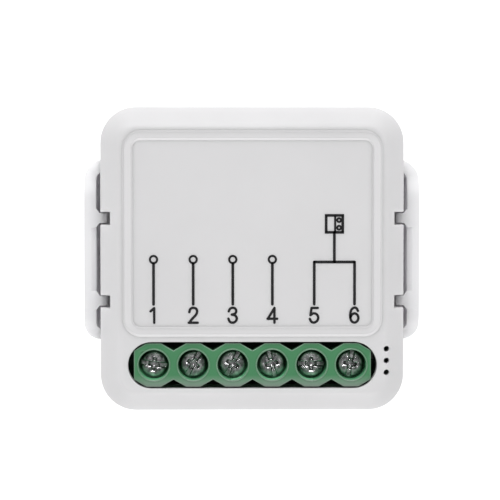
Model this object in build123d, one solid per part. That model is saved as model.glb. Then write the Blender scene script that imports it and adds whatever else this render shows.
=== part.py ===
from build123d import *
import math
import os

# A garage door controller: a square module in a two-part case, held by a clip bracket.
# Lengths are in millimetres. The back of the bracket lies on Z = 0, the front face looks along +Z,
# and the row of terminals is at the -Y end of the front face.

# Case and its walls. Its plan is worked out below from the rows of parts that it holds.
case_corner = 4.6
front_edge_slope = 2.4
front_edge_blend = 1.1
rear_edge_chamfer = 0.7
side_wall = 1.5
front_wall = 1.8
rear_wall = 1.5
inner_edge_chamfer = 0.6
rear_cover_height = 4.0
parting_chamfer = 0.22
overrun = 1.0

# Lip of the rear cover inside the front cover, and its snap hooks
lip_wall = 0.7
lip_clearance = 0.1
lip_height = 1.2
lip_root = 1.2
hook_width = 4.0
hook_rise = 3.4
hook_barb = 0.5
hook_barb_height = 1.0
hook_rib_gap = 0.5
hook_pocket_clearance = 0.15

# Board, its seat and its supports
board_clearance = 0.1
board_thickness = 1.2
board_standoff = 2.7
board_corner = 2.0
post_width = 2.8
post_pin_width = 1.3
post_inset = 2.4
post_fit = 0.1
stop_rib_width = 1.6
stop_rib_length = 2.6
stop_rib_gap = 0.05

# Terminal block, six poles in line
pole_count = 6
pole_pitch = 5.08
row_end_margin = 4.36
row_inset = 6.0
base_inset = 0.4
base_back = 4.2
base_height = 5.8
housing_floor = 0.8
tower_width = 5.6
tower_recess = 0.4
lobe_flat = 1.88
lobe_notch_depth = 0.94
lobe_height = 3.6
well_diameter = 3.9
ledge_thickness = 0.8
shank_hole_clearance = 0.15
wire_entry_width = 3.0
wire_entry_corner = 0.6
wire_entry_flare = 0.25

# Terminal screws, with a slot and a shorter cross recess
head_diameter = 3.6
head_thickness = 1.4
head_recess = 1.6
head_edge_width = 0.4
head_edge_drop = 0.5
shank_diameter = 2.5
slot_width = 0.7
slot_depth = 0.65
cross_length = 2.5
cross_depth = 1.0
screw_rest_degrees = [-8, 60, 62, 105, 0, 80]

# Clamp cages that the screws raise, and the contact bars in them
cage_width = 4.0
cage_length = 4.2
cage_top_wall = 1.3
cage_side_wall = 0.5
cage_floor = 0.6
cage_clearance = 0.1
cage_travel = 2.1
cage_groove = 0.2
cage_groove_count = 3
cage_thread_clearance = 0.05
wire_space = 2.5
bar_thickness = 0.8
bar_width = 2.6
bar_leg_setback = 0.6
bar_pin_width = 1.2
bar_fit = 0.06
solder_tail = 1.0

# Opening for the terminal block in the front, and its notch in the end wall
opening_gap = 0.2
opening_end_gap = 0.76
end_notch_clearance = 0.26
end_notch_rise = 0.2
tongue_clearance = 0.1
tongue_below_housing = 0.1

# Label panel: the shallow groove round it
panel_height = 24.0
panel_side_inset = 4.1
panel_inset = 4.35
panel_row_gap = 2.05
panel_corner = 0.9
groove_width = 1.05
groove_depth = 0.28

# Three small holes beside the terminal block
indicator_hole_diameter = 0.74
indicator_hole_count = 3
indicator_hole_pitch = 1.52
indicator_inset = 2.36
indicator_row_offset = 0.55

# Clip bracket
bracket_plate = 2.0
arm_gap = 0.65
arm_wall = 1.55
arm_top_reach = 12.9
arm_bottom_reach = 10.9
arm_top_corner = 2.7
arm_bottom_corner = 2.4
arm_end_gap = 0.15
arm_drop = 3.9
arm_top_round = 5.4
arm_bottom_round = 4.4
arm_bevel = 0.65
finger_spacing = 10.75
finger_middle_y = -0.15
finger_width = 1.25
finger_thickness = 1.3
finger_flare = 0.6
finger_flare_length = 0.45
finger_tip_round = 0.8
bracket_hole_diameter = 3.2
bracket_hole_spacing = 24.0
countersink_diameter = 5.6

# Notches in the case sides that take the fingers
notch_depth = 1.3
notch_width = 1.7
notch_wall = 1.2
notch_tip_gap = 0.5

# Pairing button in the end wall opposite the terminals, and the switch behind it
button_width = 6.0
button_height = 2.6
button_fit = 0.1
button_x = 9.0
button_above_board = 2.0
button_flange = 0.5
button_flange_thickness = 0.6
button_travel = 0.4
switch_width = 6.0
switch_depth = 3.6
switch_height = 3.5
stem_diameter = 1.6
stem_fit = 0.1
stem_engagement = 0.9
stem_bottom_gap = 0.3

# Parts on the board: room to their neighbours and their leads
part_gap = 0.6
gaps_to_header = 2
board_margin = 0.6
lead_size = 0.6
lead_fit = 0.1
lead_tail = 1.0
part_seat = 0.2
part_top_gap = 0.4

# Relay
relay_length = 19.6
relay_width = 10.0
relay_height = 9.6
relay_corner = 0.6
relay_mark_diameter = 0.9
relay_mark_depth = 0.2
relay_pin_share = [(-0.42, -0.34), (-0.42, 0.34), (0.1, 0.34), (0.42, -0.34), (0.42, 0.34)]

# Transformer: core, bobbin and winding
core_length = 10.4
core_depth = 4.8
core_height = 8.8
core_yoke = 1.5
core_side_leg = 1.5
core_centre_leg = 3.0
core_seat = 0.6
bobbin_wall = 0.5
bobbin_flange = 0.5
bobbin_fit = 0.1
bobbin_depth = 8.4
winding_inset = 0.3
rail_depth = 0.9
bobbin_pin_share = [-0.38, 0, 0.38]

# Capacitors, varistor, fuse resistor and choke
filter_diameter = 8.0
filter_length = 11.6
can_groove_depth = 0.3
can_groove_place = 1.6
filter_lead_spacing = 3.5
filter_lead_reach = 1.0
output_diameter = 5.0
output_height = 7.0
output_lead_spacing = 2.0
varistor_diameter = 7.0
varistor_thickness = 3.6
varistor_lift = 0.8
varistor_lead_spacing = 5.0
fuse_diameter = 2.6
fuse_length = 6.0
fuse_lift = 0.6
fuse_lead_spacing = 2.6
choke_diameter = 4.4
choke_height = 5.0
choke_flange = 0.8
choke_waist = 0.4
choke_lead_spacing = 2.4

# Chips and small parts
bridge_length = 4.8
bridge_width = 3.8
bridge_height = 2.4
chip_length = 4.9
chip_width = 3.6
chip_height = 1.5
coupler_length = 4.0
coupler_width = 3.4
coupler_height = 2.0
chip_lead_width = 0.4
chip_lead_thickness = 0.2
chip_lead_reach = 0.7
chip_lift = 0.1
bridge_leads_per_side = 2
chip_leads_per_side = 4
coupler_leads_per_side = 2
passive_length = 1.6
passive_width = 0.8
passive_height = 0.6
passive_count = 8
led_length = 1.6
led_width = 0.8
led_height = 0.6

# Radio board on edge, its shield can and its header
radio_length = 19.0
radio_height = 10.0
radio_thickness = 0.8
radio_corner = 0.5
shield_side = 4.0
shield_height = 7.4
shield_depth = 1.8
shield_wall = 0.2
shield_lift = 1.6
header_pin_count = 7
header_pitch = 2.0
header_bar = 1.5

quarter_turn = 90

# Levels, from the back of the bracket to the front face. The terminal block's stack sets the depth,
# or the tallest part on the board does.
rear_z = bracket_plate
parting_z = rear_z + rear_cover_height
rear_inner_z = rear_z + rear_wall
board_bottom_z = rear_inner_z + board_standoff
board_top_z = board_bottom_z + board_thickness
cavity_bottom_z = board_top_z + housing_floor
cage_bottom_z = cavity_bottom_z + cage_clearance
window_bottom_z = cage_bottom_z + cage_floor
bar_bottom_z = window_bottom_z + wire_space
bar_top_z = bar_bottom_z + bar_thickness
window_top_z = bar_top_z + cage_clearance
cage_top_z = window_top_z + cage_top_wall
ledge_bottom_z = cage_top_z + cage_travel + cage_clearance
ledge_top_z = ledge_bottom_z + ledge_thickness
head_top_z = ledge_top_z + head_thickness
tower_top_z = head_top_z + head_recess
tallest_part = part_seat + max(radio_height, relay_height, filter_diameter, output_height)
front_z = max(tower_top_z + tower_recess, board_top_z + tallest_part + part_top_gap + front_wall)
front_inner_z = front_z - front_wall
base_top_z = board_top_z + base_height
lip_top_z = parting_z + lip_height
arm_top_z = front_z - arm_drop
notch_floor_z = arm_top_z - finger_thickness

# Places across the face. The case is as wide and as high as the larger of what its face and its board need.
housing_length = pole_count * pole_pitch
lip_inner = side_wall + lip_clearance + lip_wall
board_room = lip_inner + board_clearance
case_width = max(
    housing_length + 2 * row_end_margin,
    relay_length + part_gap + core_length + 2 * (board_margin + board_room),
)
case_height = max(
    row_inset + tower_width / 2 + panel_row_gap + panel_height + panel_inset,
    row_inset + base_back + part_gap + relay_width + part_gap + filter_diameter + header_bar
    + gaps_to_header * part_gap + radio_thickness + part_gap + stop_rib_width / 2 + post_inset + board_room,
)
panel_width = case_width - 2 * panel_side_inset
half_width = case_width / 2
half_height = case_height / 2
row_y = row_inset - half_height
base_front_y = base_inset - half_height
base_back_y = row_y + base_back
pole_places = [(i - (pole_count - 1) / 2) * pole_pitch for i in range(pole_count)]
cavity_width = cage_width + 2 * cage_clearance
cavity_length = cage_length + 2 * cage_clearance
cavity_back_y = row_y + cavity_length / 2
leg_front_y = cavity_back_y + bar_leg_setback
board_width = case_width - 2 * board_room
board_height = case_height - 2 * board_room
board_half_width = board_width / 2
board_half_height = board_height / 2
notch_x = half_width - notch_depth
arm_inner_x = half_width + arm_gap
arm_outer_x = arm_inner_x + arm_wall
finger_tip_x = notch_x + notch_tip_gap
indicator_x = half_width - indicator_inset
indicator_y = row_y + indicator_row_offset
button_z = board_top_z + button_above_board
post_places = [
    (side * (board_half_width - post_inset), end * (board_half_height - post_inset))
    for side in (-1, 1) for end in (-1, 1)
]
rib_places = [(x, y) for x, y in post_places if y > 0]
hook_y = board_half_height - post_inset - stop_rib_width / 2 - hook_rib_gap - hook_width / 2
finger_places = [finger_middle_y - finger_spacing / 2, finger_middle_y + finger_spacing / 2]

# Places on the board, each from its neighbour or the board's edge
relay_x = -board_half_width + board_margin + relay_length / 2
relay_y = base_back_y + part_gap + relay_width / 2
core_x = board_half_width - board_margin - core_length / 2
bobbin_y = base_back_y + part_gap + bobbin_depth / 2 + rail_depth
second_row_y = relay_y + relay_width / 2 + part_gap
filter_x = -board_half_width + board_margin + filter_length / 2
filter_y = second_row_y + filter_diameter / 2
varistor_x = filter_x + filter_length / 2 + filter_lead_reach + 2 * part_gap + varistor_thickness / 2
fuse_x = varistor_x + varistor_thickness / 2 + part_gap + fuse_diameter / 2
fuse_y = second_row_y + fuse_diameter / 2 + part_gap
coupler_x = varistor_x + varistor_thickness / 2 + part_gap + coupler_length / 2
coupler_y = fuse_y + fuse_lead_spacing + part_gap + chip_lead_reach + coupler_width / 2
bridge_x = fuse_x + fuse_diameter / 2 + 2 * part_gap + bridge_length / 2
bridge_y = bobbin_y + bobbin_depth / 2 + rail_depth + part_gap + chip_lead_reach + bridge_width / 2
chip_x = coupler_x + coupler_length / 2 + part_gap + chip_length / 2
chip_y = bridge_y + bridge_width / 2 + chip_width / 2 + 2 * chip_lead_reach + part_gap
choke_x = board_half_width - board_margin - choke_diameter / 2
choke_y = bridge_y - bridge_width / 2 + choke_diameter / 2 - chip_lead_reach
output_x = board_half_width - board_margin - output_diameter / 2
output_y = choke_y + choke_diameter / 2 + part_gap / 2 + output_diameter / 2
radio_x = -board_half_width + 2 * board_margin + radio_length / 2
radio_y = filter_y + filter_diameter / 2 + header_bar + gaps_to_header * part_gap
shield_length = radio_length - 2 * shield_side
button_flange_y = half_height - side_wall - button_fit - button_flange_thickness
stem_front_y = button_flange_y
switch_front_y = stem_front_y - stem_engagement
switch_back_y = switch_front_y - switch_depth
led_x = housing_length / 2 + (board_half_width - housing_length / 2) / 2


def block(low, high):
    # A box between two opposite corners.
    size = [b - a for a, b in zip(low, high)]
    middle = [(a + b) / 2 for a, b in zip(low, high)]
    return Pos(*middle) * Box(*size)


def square_bar(width, x, y, z_low, z_high):
    # An upright square bar.
    half = width / 2
    return block((x - half, y - half, z_low), (x + half, y + half, z_high))


def rod(radius, x, y, z_low, z_high):
    # An upright cylinder.
    return Pos(x, y, (z_low + z_high) / 2) * Cylinder(radius, z_high - z_low)


def rod_along_y(radius, y_low, y_high, x, z):
    return Pos(x, (y_low + y_high) / 2, z) * Rot(quarter_turn, 0, 0) * Cylinder(radius, y_high - y_low)


def extrude_up(outline, z_low, z_high):
    return extrude(Pos(0, 0, z_low) * outline, z_high - z_low, dir=(0, 0, 1))


def extrude_along_y(outline, y_low, y_high):
    # The outline is drawn in X and Z.
    plane = Plane(origin=(0, y_high, 0), x_dir=(1, 0, 0), z_dir=(0, -1, 0))
    return extrude(plane * outline, y_high - y_low, dir=(0, -1, 0))


def extrude_along_x(outline, x_low, x_high):
    # The outline is drawn in Y and Z.
    plane = Plane(origin=(x_low, 0, 0), x_dir=(0, 1, 0), z_dir=(1, 0, 0))
    return extrude(plane * outline, x_high - x_low, dir=(1, 0, 0))


def case_block(z_low, z_high, inset=0):
    # The case's rounded square, drawn in by an inset on all sides.
    plan = RectangleRounded(case_width - 2 * inset, case_height - 2 * inset, case_corner - inset)
    return extrude_up(plan, z_low, z_high)


def mirrored_pair(shape):
    return shape + mirror(shape, about=Plane.YZ)


def side_notches(margin, z_low, z_high, x_low, x_high):
    # The four places of the notches in the case sides, widened by a margin.
    half = notch_width / 2 + margin
    pair = Part()
    for y in finger_places:
        pair += block((x_low, y - half, z_low), (x_high, y + half, z_high))
    return mirrored_pair(pair)


def front_shell():
    # The front edge slopes back to the walls, with a soft bend where the slope leaves the face.
    outer = case_block(parting_z, front_z)
    outer = chamfer(outer.edges().group_by(Axis.Z)[-1], front_edge_slope)
    outer = fillet(outer.edges().group_by(Axis.Z)[-1], front_edge_blend)
    outer = chamfer(outer.edges().group_by(Axis.Z)[0], parting_chamfer)
    hollow = case_block(parting_z - overrun, front_inner_z, side_wall)
    hollow = chamfer(hollow.edges().group_by(Axis.Z)[-1], inner_edge_chamfer)
    pockets = side_notches(
        notch_wall, notch_floor_z - notch_wall, front_inner_z + overrun / 2,
        notch_x - notch_wall, half_width - side_wall / 2,
    )
    cut = side_notches(0, notch_floor_z, front_z + overrun, notch_x, half_width + overrun)
    return (outer - hollow) + pockets - cut


def panel_groove():
    # A ring round the label panel, cut a little way into the front face.
    centre_y = half_height - panel_inset - panel_height / 2
    inside = RectangleRounded(panel_width, panel_height, panel_corner)
    outside = RectangleRounded(
        panel_width + 2 * groove_width, panel_height + 2 * groove_width, panel_corner + groove_width
    )
    ring = Pos(0, centre_y) * (outside - inside)
    return extrude_up(ring, front_z - groove_depth, front_z + overrun)


def terminal_opening():
    slot = SlotOverall(housing_length + 2 * opening_end_gap, tower_width + 2 * opening_gap)
    through = extrude_up(Pos(0, row_y) * slot, front_inner_z - overrun, front_z + overrun)
    half = housing_length / 2 + end_notch_clearance
    end_notch = block(
        (-half, -half_height - overrun, parting_z - overrun),
        (half, -half_height + side_wall + overrun, base_top_z + end_notch_rise),
    )
    return through + end_notch


def indicator_holes():
    holes = Part()
    for i in range(indicator_hole_count):
        y = indicator_y + (i - (indicator_hole_count - 1) / 2) * indicator_hole_pitch
        holes += rod(indicator_hole_diameter / 2, indicator_x, y, front_inner_z - overrun, front_z + overrun)
    return holes


def button_outline(margin):
    width = button_width + 2 * margin
    height = button_height + 2 * margin
    return Pos(button_x, button_z) * RectangleRounded(width, height, button_height / 4 + margin)


def hook_places():
    return [(side, y) for side in (-1, 1) for y in (-hook_y, hook_y)]


def hook_barb_box(side, y, margin):
    # The barb at a hook's end, or the pocket for it when a margin is given.
    outer = half_width - side_wall - lip_clearance
    low_z = lip_top_z + hook_rise - hook_barb_height
    half = hook_width / 2 + margin
    x_in, x_out = side * (outer - lip_wall / 2), side * (outer + hook_barb + margin)
    return block(
        (min(x_in, x_out), y - half, low_z - margin),
        (max(x_in, x_out), y + half, lip_top_z + hook_rise + margin),
    )


def stop_ribs():
    # Ribs from the front wall that hold the board down on its posts.
    ribs = Part()
    for x, y in rib_places:
        sign = math.copysign(1, x)
        x_in = x - sign * stop_rib_length / 2
        x_out = sign * (half_width - side_wall / 2)
        ribs += block(
            (min(x_in, x_out), y - stop_rib_width / 2, board_top_z + stop_rib_gap),
            (max(x_in, x_out), y + stop_rib_width / 2, front_inner_z + inner_edge_chamfer / 2),
        )
    relief = Part()
    reach = post_pin_width
    for x, y in rib_places:
        relief += block(
            (x - reach, y - reach, board_top_z - overrun), (x + reach, y + reach, board_top_z + board_thickness)
        )
    return ribs - relief


def make_front_cover():
    cover = front_shell() + stop_ribs()
    cover = cover - panel_groove() - terminal_opening() - indicator_holes()
    cover -= extrude_along_y(button_outline(button_fit), half_height - side_wall - overrun, half_height + overrun)
    for side, y in hook_places():
        cover -= hook_barb_box(side, y, hook_pocket_clearance)
    return cover


def rear_shell():
    outer = case_block(rear_z, parting_z)
    outer = chamfer(outer.edges().group_by(Axis.Z)[0], rear_edge_chamfer)
    outer = chamfer(outer.edges().group_by(Axis.Z)[-1], parting_chamfer)
    hollow = case_block(rear_inner_z, parting_z + overrun, side_wall)
    return (outer - hollow) + lip_bars()


def lip_bars():
    # The lip along the four straight sides. It leaves the rounded corners free.
    low_z, edge = parting_z - lip_root, side_wall + lip_clearance
    bars = Part()
    for side in (-1, 1):
        for root in (False, True):
            outer = side_wall / 2 if root else edge
            top_z = parting_z if root else lip_top_z
            along = half_width - case_corner
            y_a, y_b = side * (half_height - outer), side * (half_height - lip_inner)
            bars += block((-along, min(y_a, y_b), low_z), (along, max(y_a, y_b), top_z))
            along = half_height - case_corner
            x_a, x_b = side * (half_width - outer), side * (half_width - lip_inner)
            bars += block((min(x_a, x_b), -along, low_z), (max(x_a, x_b), along, top_z))
    return bars


def rear_tongue():
    # Fills the end wall's notch below the terminal block.
    half = housing_length / 2 + end_notch_clearance - tongue_clearance
    return block(
        (-half, -half_height, parting_z - lip_root),
        (half, -half_height + lip_inner, board_top_z - tongue_below_housing),
    )


def board_posts():
    posts = Part()
    for x, y in post_places:
        posts += square_bar(post_width, x, y, rear_inner_z - rear_wall / 2, board_bottom_z)
        posts += square_bar(post_pin_width, x, y, rear_inner_z, board_top_z)
    return posts


def snap_hook(side, y):
    outer = half_width - side_wall - lip_clearance
    x_in, x_out = side * (outer - lip_wall), side * outer
    leg = block(
        (min(x_in, x_out), y - hook_width / 2, parting_z - lip_root),
        (max(x_in, x_out), y + hook_width / 2, lip_top_z + hook_rise),
    )
    return leg + hook_barb_box(side, y, 0)


def make_rear_cover():
    cover = rear_shell() + rear_tongue() + board_posts()
    for side, y in hook_places():
        cover += snap_hook(side, y)
    return cover


def bracket_outline(inset):
    # The bracket's rounded outline in plan, drawn in by an inset.
    top = arm_top_reach - inset
    bottom = -arm_bottom_reach + inset
    plan = Pos(0, (top + bottom) / 2) * Rectangle(2 * (arm_outer_x - inset), top - bottom)
    plan = fillet(plan.vertices().group_by(Axis.Y)[-1], arm_top_corner - inset)
    return fillet(plan.vertices().group_by(Axis.Y)[0], arm_bottom_corner - inset)


def arm_side_profile():
    # An arm seen from the side: flat along the fingers, falling away at both ends.
    middle = (arm_top_reach - arm_bottom_reach) / 2
    profile = Pos(middle, arm_top_z / 2) * Rectangle(arm_top_reach + arm_bottom_reach, arm_top_z)
    top = profile.vertices().group_by(Axis.Y)[-1].sort_by(Axis.X)
    profile = fillet(top[-1], arm_top_round)
    top = profile.vertices().group_by(Axis.Y)[-1].sort_by(Axis.X)
    return fillet(top[0], arm_bottom_round)


def bracket_arm():
    ring = extrude_up(bracket_outline(0) - bracket_outline(arm_wall), 0, arm_top_z)
    reach = extrude_along_x(arm_side_profile(), half_width + arm_end_gap, arm_outer_x + overrun)
    slope = Polygon(
        (arm_inner_x, arm_top_z - arm_bevel), (arm_inner_x + arm_bevel, arm_top_z),
        (arm_inner_x + arm_bevel, arm_top_z + overrun), (arm_inner_x - overrun, arm_top_z + overrun),
        (arm_inner_x - overrun, arm_top_z - arm_bevel), align=None,
    )
    half = (finger_spacing - finger_width) / 2 - finger_flare
    bevel = extrude_along_y(slope, finger_middle_y - half, finger_middle_y + half)
    return (ring & reach) - bevel


def bracket_finger(y):
    # A finger from the arm's front edge into a notch, flared at its root and rounded at its tip.
    half = finger_width / 2
    root = half + finger_flare
    outline = Polygon(
        (finger_tip_x, y - half), (arm_inner_x - finger_flare_length, y - half), (arm_inner_x, y - root),
        (arm_inner_x + arm_wall / 2, y - root), (arm_inner_x + arm_wall / 2, y + root), (arm_inner_x, y + root),
        (arm_inner_x - finger_flare_length, y + half), (finger_tip_x, y + half), align=None,
    )
    finger = extrude_up(outline, notch_floor_z, arm_top_z)
    tip = finger.edges().filter_by(Axis.Y).group_by(Axis.X)[0].sort_by(Axis.Z)[-1]
    return fillet(tip, finger_tip_round)


def make_mounting_bracket():
    plate = extrude_up(bracket_outline(0), 0, bracket_plate)
    side = bracket_arm()
    for y in finger_places:
        side += bracket_finger(y)
    bracket = plate + mirrored_pair(side)
    sink = (countersink_diameter - bracket_hole_diameter) / 2
    for x in (-bracket_hole_spacing / 2, bracket_hole_spacing / 2):
        bracket -= rod(bracket_hole_diameter / 2, x, 0, -overrun, bracket_plate + overrun)
        cone = Cone(bracket_hole_diameter / 2, countersink_diameter / 2, sink)
        bracket -= Pos(x, 0, bracket_plate - sink / 2) * cone
    return bracket


def lobe_points():
    # One long edge of the lobed outline, from left to right.
    top = tower_width / 2
    points = [(pole_places[0] - pole_pitch / 2, top - lobe_notch_depth)]
    for x in pole_places:
        points += [(x - lobe_flat / 2, top), (x + lobe_flat / 2, top)]
        points.append((x + pole_pitch / 2, top - lobe_notch_depth))
    return points


def lobed_outline():
    upper = lobe_points()
    lower = [(x, -y) for x, y in reversed(upper)]
    return Pos(0, row_y) * Polygon(*upper, *lower, align=None)


def housing_body():
    half = housing_length / 2
    base = block((-half, base_front_y, board_top_z), (half, base_back_y, base_top_z))
    tower_bottom_z = tower_top_z - lobe_height
    tower = block(
        (-half, row_y - tower_width / 2, base_top_z), (half, row_y + tower_width / 2, tower_bottom_z)
    )
    return base + tower + extrude_up(lobed_outline(), tower_bottom_z, tower_top_z)


def pole_hollow(x):
    # All that is cut from the housing for one pole, from the screw's well to the wire entry.
    radius = well_diameter / 2
    cut = rod(radius, x, row_y, ledge_top_z, tower_top_z + overrun)
    cut += rod(shank_diameter / 2 + shank_hole_clearance, x, row_y, ledge_bottom_z - overrun, ledge_top_z + overrun)
    half = cavity_width / 2
    cut += block(
        (x - half, row_y - cavity_length / 2, cavity_bottom_z), (x + half, cavity_back_y, ledge_bottom_z)
    )
    return cut + wire_entry(x) + bar_slot(x)


def entry_outline(x, margin):
    half = wire_entry_width / 2 + margin
    corner = wire_entry_corner
    top = bar_bottom_z + margin
    bottom = window_bottom_z - margin
    return Polygon(
        (x - half, bottom), (x + half, bottom), (x + half, top - corner), (x + half - corner, top),
        (x - half + corner, top), (x - half, top - corner), align=None,
    )


def wire_entry(x):
    tunnel = extrude_along_y(entry_outline(x, 0), base_front_y - overrun, row_y)
    mouth = extrude_along_y(entry_outline(x, wire_entry_flare), base_front_y - overrun, base_front_y + wire_entry_flare)
    return tunnel + mouth


def bar_slot(x):
    # The slot for a contact bar: through the cavity's back wall, then down to the board.
    half = bar_width / 2 + bar_fit
    across = block(
        (x - half, row_y, bar_bottom_z - bar_fit),
        (x + half, leg_front_y + bar_thickness + bar_fit, bar_top_z + bar_fit),
    )
    down = block(
        (x - half, leg_front_y - bar_fit, board_top_z - overrun),
        (x + half, leg_front_y + bar_thickness + bar_fit, bar_bottom_z),
    )
    return across + down


def make_terminal_housing():
    housing = housing_body()
    for x in pole_places:
        housing -= pole_hollow(x)
    return housing


def make_terminal_screw(i):
    # Half the outline of the head and shank, turned round the axis, then the slot and the cross recess.
    radius, shank = head_diameter / 2, shank_diameter / 2
    profile = Polygon(
        (0, window_top_z), (shank, window_top_z), (shank, ledge_top_z), (radius, ledge_top_z),
        (radius, head_top_z - head_edge_drop), (radius - head_edge_width, head_top_z), (0, head_top_z), align=None,
    )
    screw = revolve(Plane.XZ * profile, Axis.Z)
    screw -= Pos(0, 0, head_top_z) * Box(head_diameter + overrun, slot_width, 2 * slot_depth)
    screw -= Pos(0, 0, head_top_z) * Box(slot_width, cross_length, 2 * cross_depth)
    return Pos(pole_places[i], row_y) * Rot(0, 0, screw_rest_degrees[i]) * screw


def make_clamp_cage(i):
    x = pole_places[i]
    half = cage_width / 2
    front, back = row_y - cage_length / 2, row_y + cage_length / 2
    cage = block((x - half, front, cage_bottom_z), (x + half, back, cage_top_z))
    inner = half - cage_side_wall
    cage -= block((x - inner, front - overrun, window_bottom_z), (x + inner, back + overrun, window_top_z))
    cage -= rod(shank_diameter / 2 + cage_thread_clearance, x, row_y, window_top_z - overrun, cage_top_z + overrun)
    step = cage_length / (cage_groove_count + 1)
    for n in range(cage_groove_count):
        y = front + (n + 1) * step
        groove = Polygon(
            (y - cage_groove, window_bottom_z), (y, window_bottom_z - cage_groove), (y + cage_groove, window_bottom_z),
            align=None,
        )
        cage -= extrude_along_x(groove, x - inner, x + inner)
    return cage


def make_contact_bar(i):
    x = pole_places[i]
    half = bar_width / 2
    front = row_y - cavity_length / 2 + cage_clearance
    back = leg_front_y + bar_thickness
    bar = block((x - half, front, bar_bottom_z), (x + half, back, bar_top_z))
    bar += block((x - half, leg_front_y, board_top_z), (x + half, back, bar_bottom_z))
    pin = bar_pin_width / 2
    return bar + block((x - pin, leg_front_y, board_bottom_z - solder_tail), (x + pin, back, board_top_z))


def make_pairing_button():
    cap = extrude_along_y(button_outline(0), button_flange_y, half_height)
    flange = extrude_along_y(
        button_outline(button_flange), button_flange_y, button_flange_y + button_flange_thickness
    )
    return cap + flange


def make_tact_switch_body():
    half = switch_width / 2
    body = block(
        (button_x - half, switch_back_y, board_top_z), (button_x + half, switch_front_y, board_top_z + switch_height)
    )
    depth = stem_engagement + button_travel + stem_bottom_gap
    body -= rod_along_y(
        stem_diameter / 2 + stem_fit, switch_front_y - depth, switch_front_y + overrun, button_x, button_z
    )
    for x, y in switch_lead_places():
        body += lead(x, y, board_top_z)
    return body


def make_tact_switch_stem():
    return rod_along_y(
        stem_diameter / 2, switch_front_y - stem_engagement, stem_front_y, button_x, button_z
    )


def switch_lead_places():
    reach = switch_width / 2 - lead_size
    return [(button_x + side * reach, (switch_front_y + switch_back_y) / 2) for side in (-1, 1)]


def lead(x, y, z_top):
    # A square lead from a part down through the board.
    return square_bar(lead_size, x, y, board_bottom_z - lead_tail, z_top)


def relay_pin_places():
    return [(relay_x + a * relay_length, relay_y + b * relay_width) for a, b in relay_pin_share]


def make_relay():
    seat = board_top_z + part_seat
    body = extrude_up(
        Pos(relay_x, relay_y) * RectangleRounded(relay_length, relay_width, relay_corner), seat, seat + relay_height
    )
    body -= rod(
        relay_mark_diameter / 2, relay_x - relay_length / 2 + relay_width / 4, relay_y - relay_width / 4,
        seat + relay_height - relay_mark_depth, seat + relay_height + overrun,
    )
    for x, y in relay_pin_places():
        body += lead(x, y, seat + part_seat)
    return body


def core_frame(z_low):
    # The core seen from the front: a frame with a centre leg.
    half = core_length / 2
    leg = core_centre_leg / 2
    z_high = z_low + core_height
    frame = block((core_x - half, bobbin_y - core_depth / 2, z_low), (core_x + half, bobbin_y + core_depth / 2, z_high))
    for side in (-1, 1):
        x_a, x_b = core_x + side * leg, core_x + side * (half - core_side_leg)
        frame -= block(
            (min(x_a, x_b), bobbin_y - core_depth, z_low + core_yoke),
            (max(x_a, x_b), bobbin_y + core_depth, z_high - core_yoke),
        )
    return frame


def make_transformer_core():
    return core_frame(board_top_z + core_seat)


def bobbin_levels():
    low = board_top_z + core_seat + core_yoke + bobbin_fit
    return low, low + core_height - 2 * core_yoke - 2 * bobbin_fit


def bobbin_half_width():
    return core_length / 2 - core_side_leg - bobbin_fit


def make_transformer_bobbin():
    low, high = bobbin_levels()
    half, half_depth = bobbin_half_width(), bobbin_depth / 2
    tube = core_centre_leg / 2 + bobbin_fit + bobbin_wall
    tube_depth = core_depth / 2 + bobbin_fit + bobbin_wall
    bobbin = block((core_x - tube, bobbin_y - tube_depth, low), (core_x + tube, bobbin_y + tube_depth, high))
    for z in (low, high - bobbin_flange):
        bobbin += block(
            (core_x - half, bobbin_y - half_depth, z), (core_x + half, bobbin_y + half_depth, z + bobbin_flange)
        )
    for side in (-1, 1):
        y_a, y_b = bobbin_y + side * (half_depth - bobbin_wall), bobbin_y + side * (half_depth + rail_depth)
        bobbin += block(
            (core_x - half, min(y_a, y_b), board_top_z), (core_x + half, max(y_a, y_b), low + bobbin_flange)
        )
    bobbin -= block(
        (core_x - tube + bobbin_wall, bobbin_y - tube_depth + bobbin_wall, low - overrun),
        (core_x + tube - bobbin_wall, bobbin_y + tube_depth - bobbin_wall, high + overrun),
    )
    for x, y in bobbin_pin_places():
        bobbin += lead(x, y, board_top_z + bobbin_flange)
    return bobbin


def bobbin_pin_places():
    reach = bobbin_depth / 2 + rail_depth / 2
    return [
        (core_x + share * 2 * bobbin_half_width(), bobbin_y + side * reach)
        for share in bobbin_pin_share for side in (-1, 1)
    ]


def make_transformer_winding():
    low, high = bobbin_levels()
    tube = core_centre_leg / 2 + bobbin_fit + bobbin_wall
    tube_depth = core_depth / 2 + bobbin_fit + bobbin_wall
    half = bobbin_half_width() - winding_inset
    half_depth = bobbin_depth / 2 - winding_inset
    z_low, z_high = low + bobbin_flange, high - bobbin_flange
    plan = RectangleRounded(2 * half, 2 * half_depth, (half - tube) / 2)
    winding = extrude_up(Pos(core_x, bobbin_y) * plan, z_low, z_high)
    return winding - block(
        (core_x - tube, bobbin_y - tube_depth, z_low - overrun), (core_x + tube, bobbin_y + tube_depth, z_high + overrun)
    )


def can_profile(radius, length):
    # Half the outline of a capacitor's can, with a rolled groove near its leads.
    groove = can_groove_place
    return Polygon(
        (0, 0), (radius, 0), (radius, groove - can_groove_depth), (radius - can_groove_depth, groove),
        (radius, groove + can_groove_depth), (radius, length), (0, length), align=None,
    )


def capacitor_can(radius, length):
    return revolve(Plane.XZ * can_profile(radius, length), Axis.Z)


def filter_lead_places():
    x = filter_x + filter_length / 2 + filter_lead_reach
    return [(x, filter_y + side * filter_lead_spacing / 2) for side in (-1, 1)]


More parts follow.
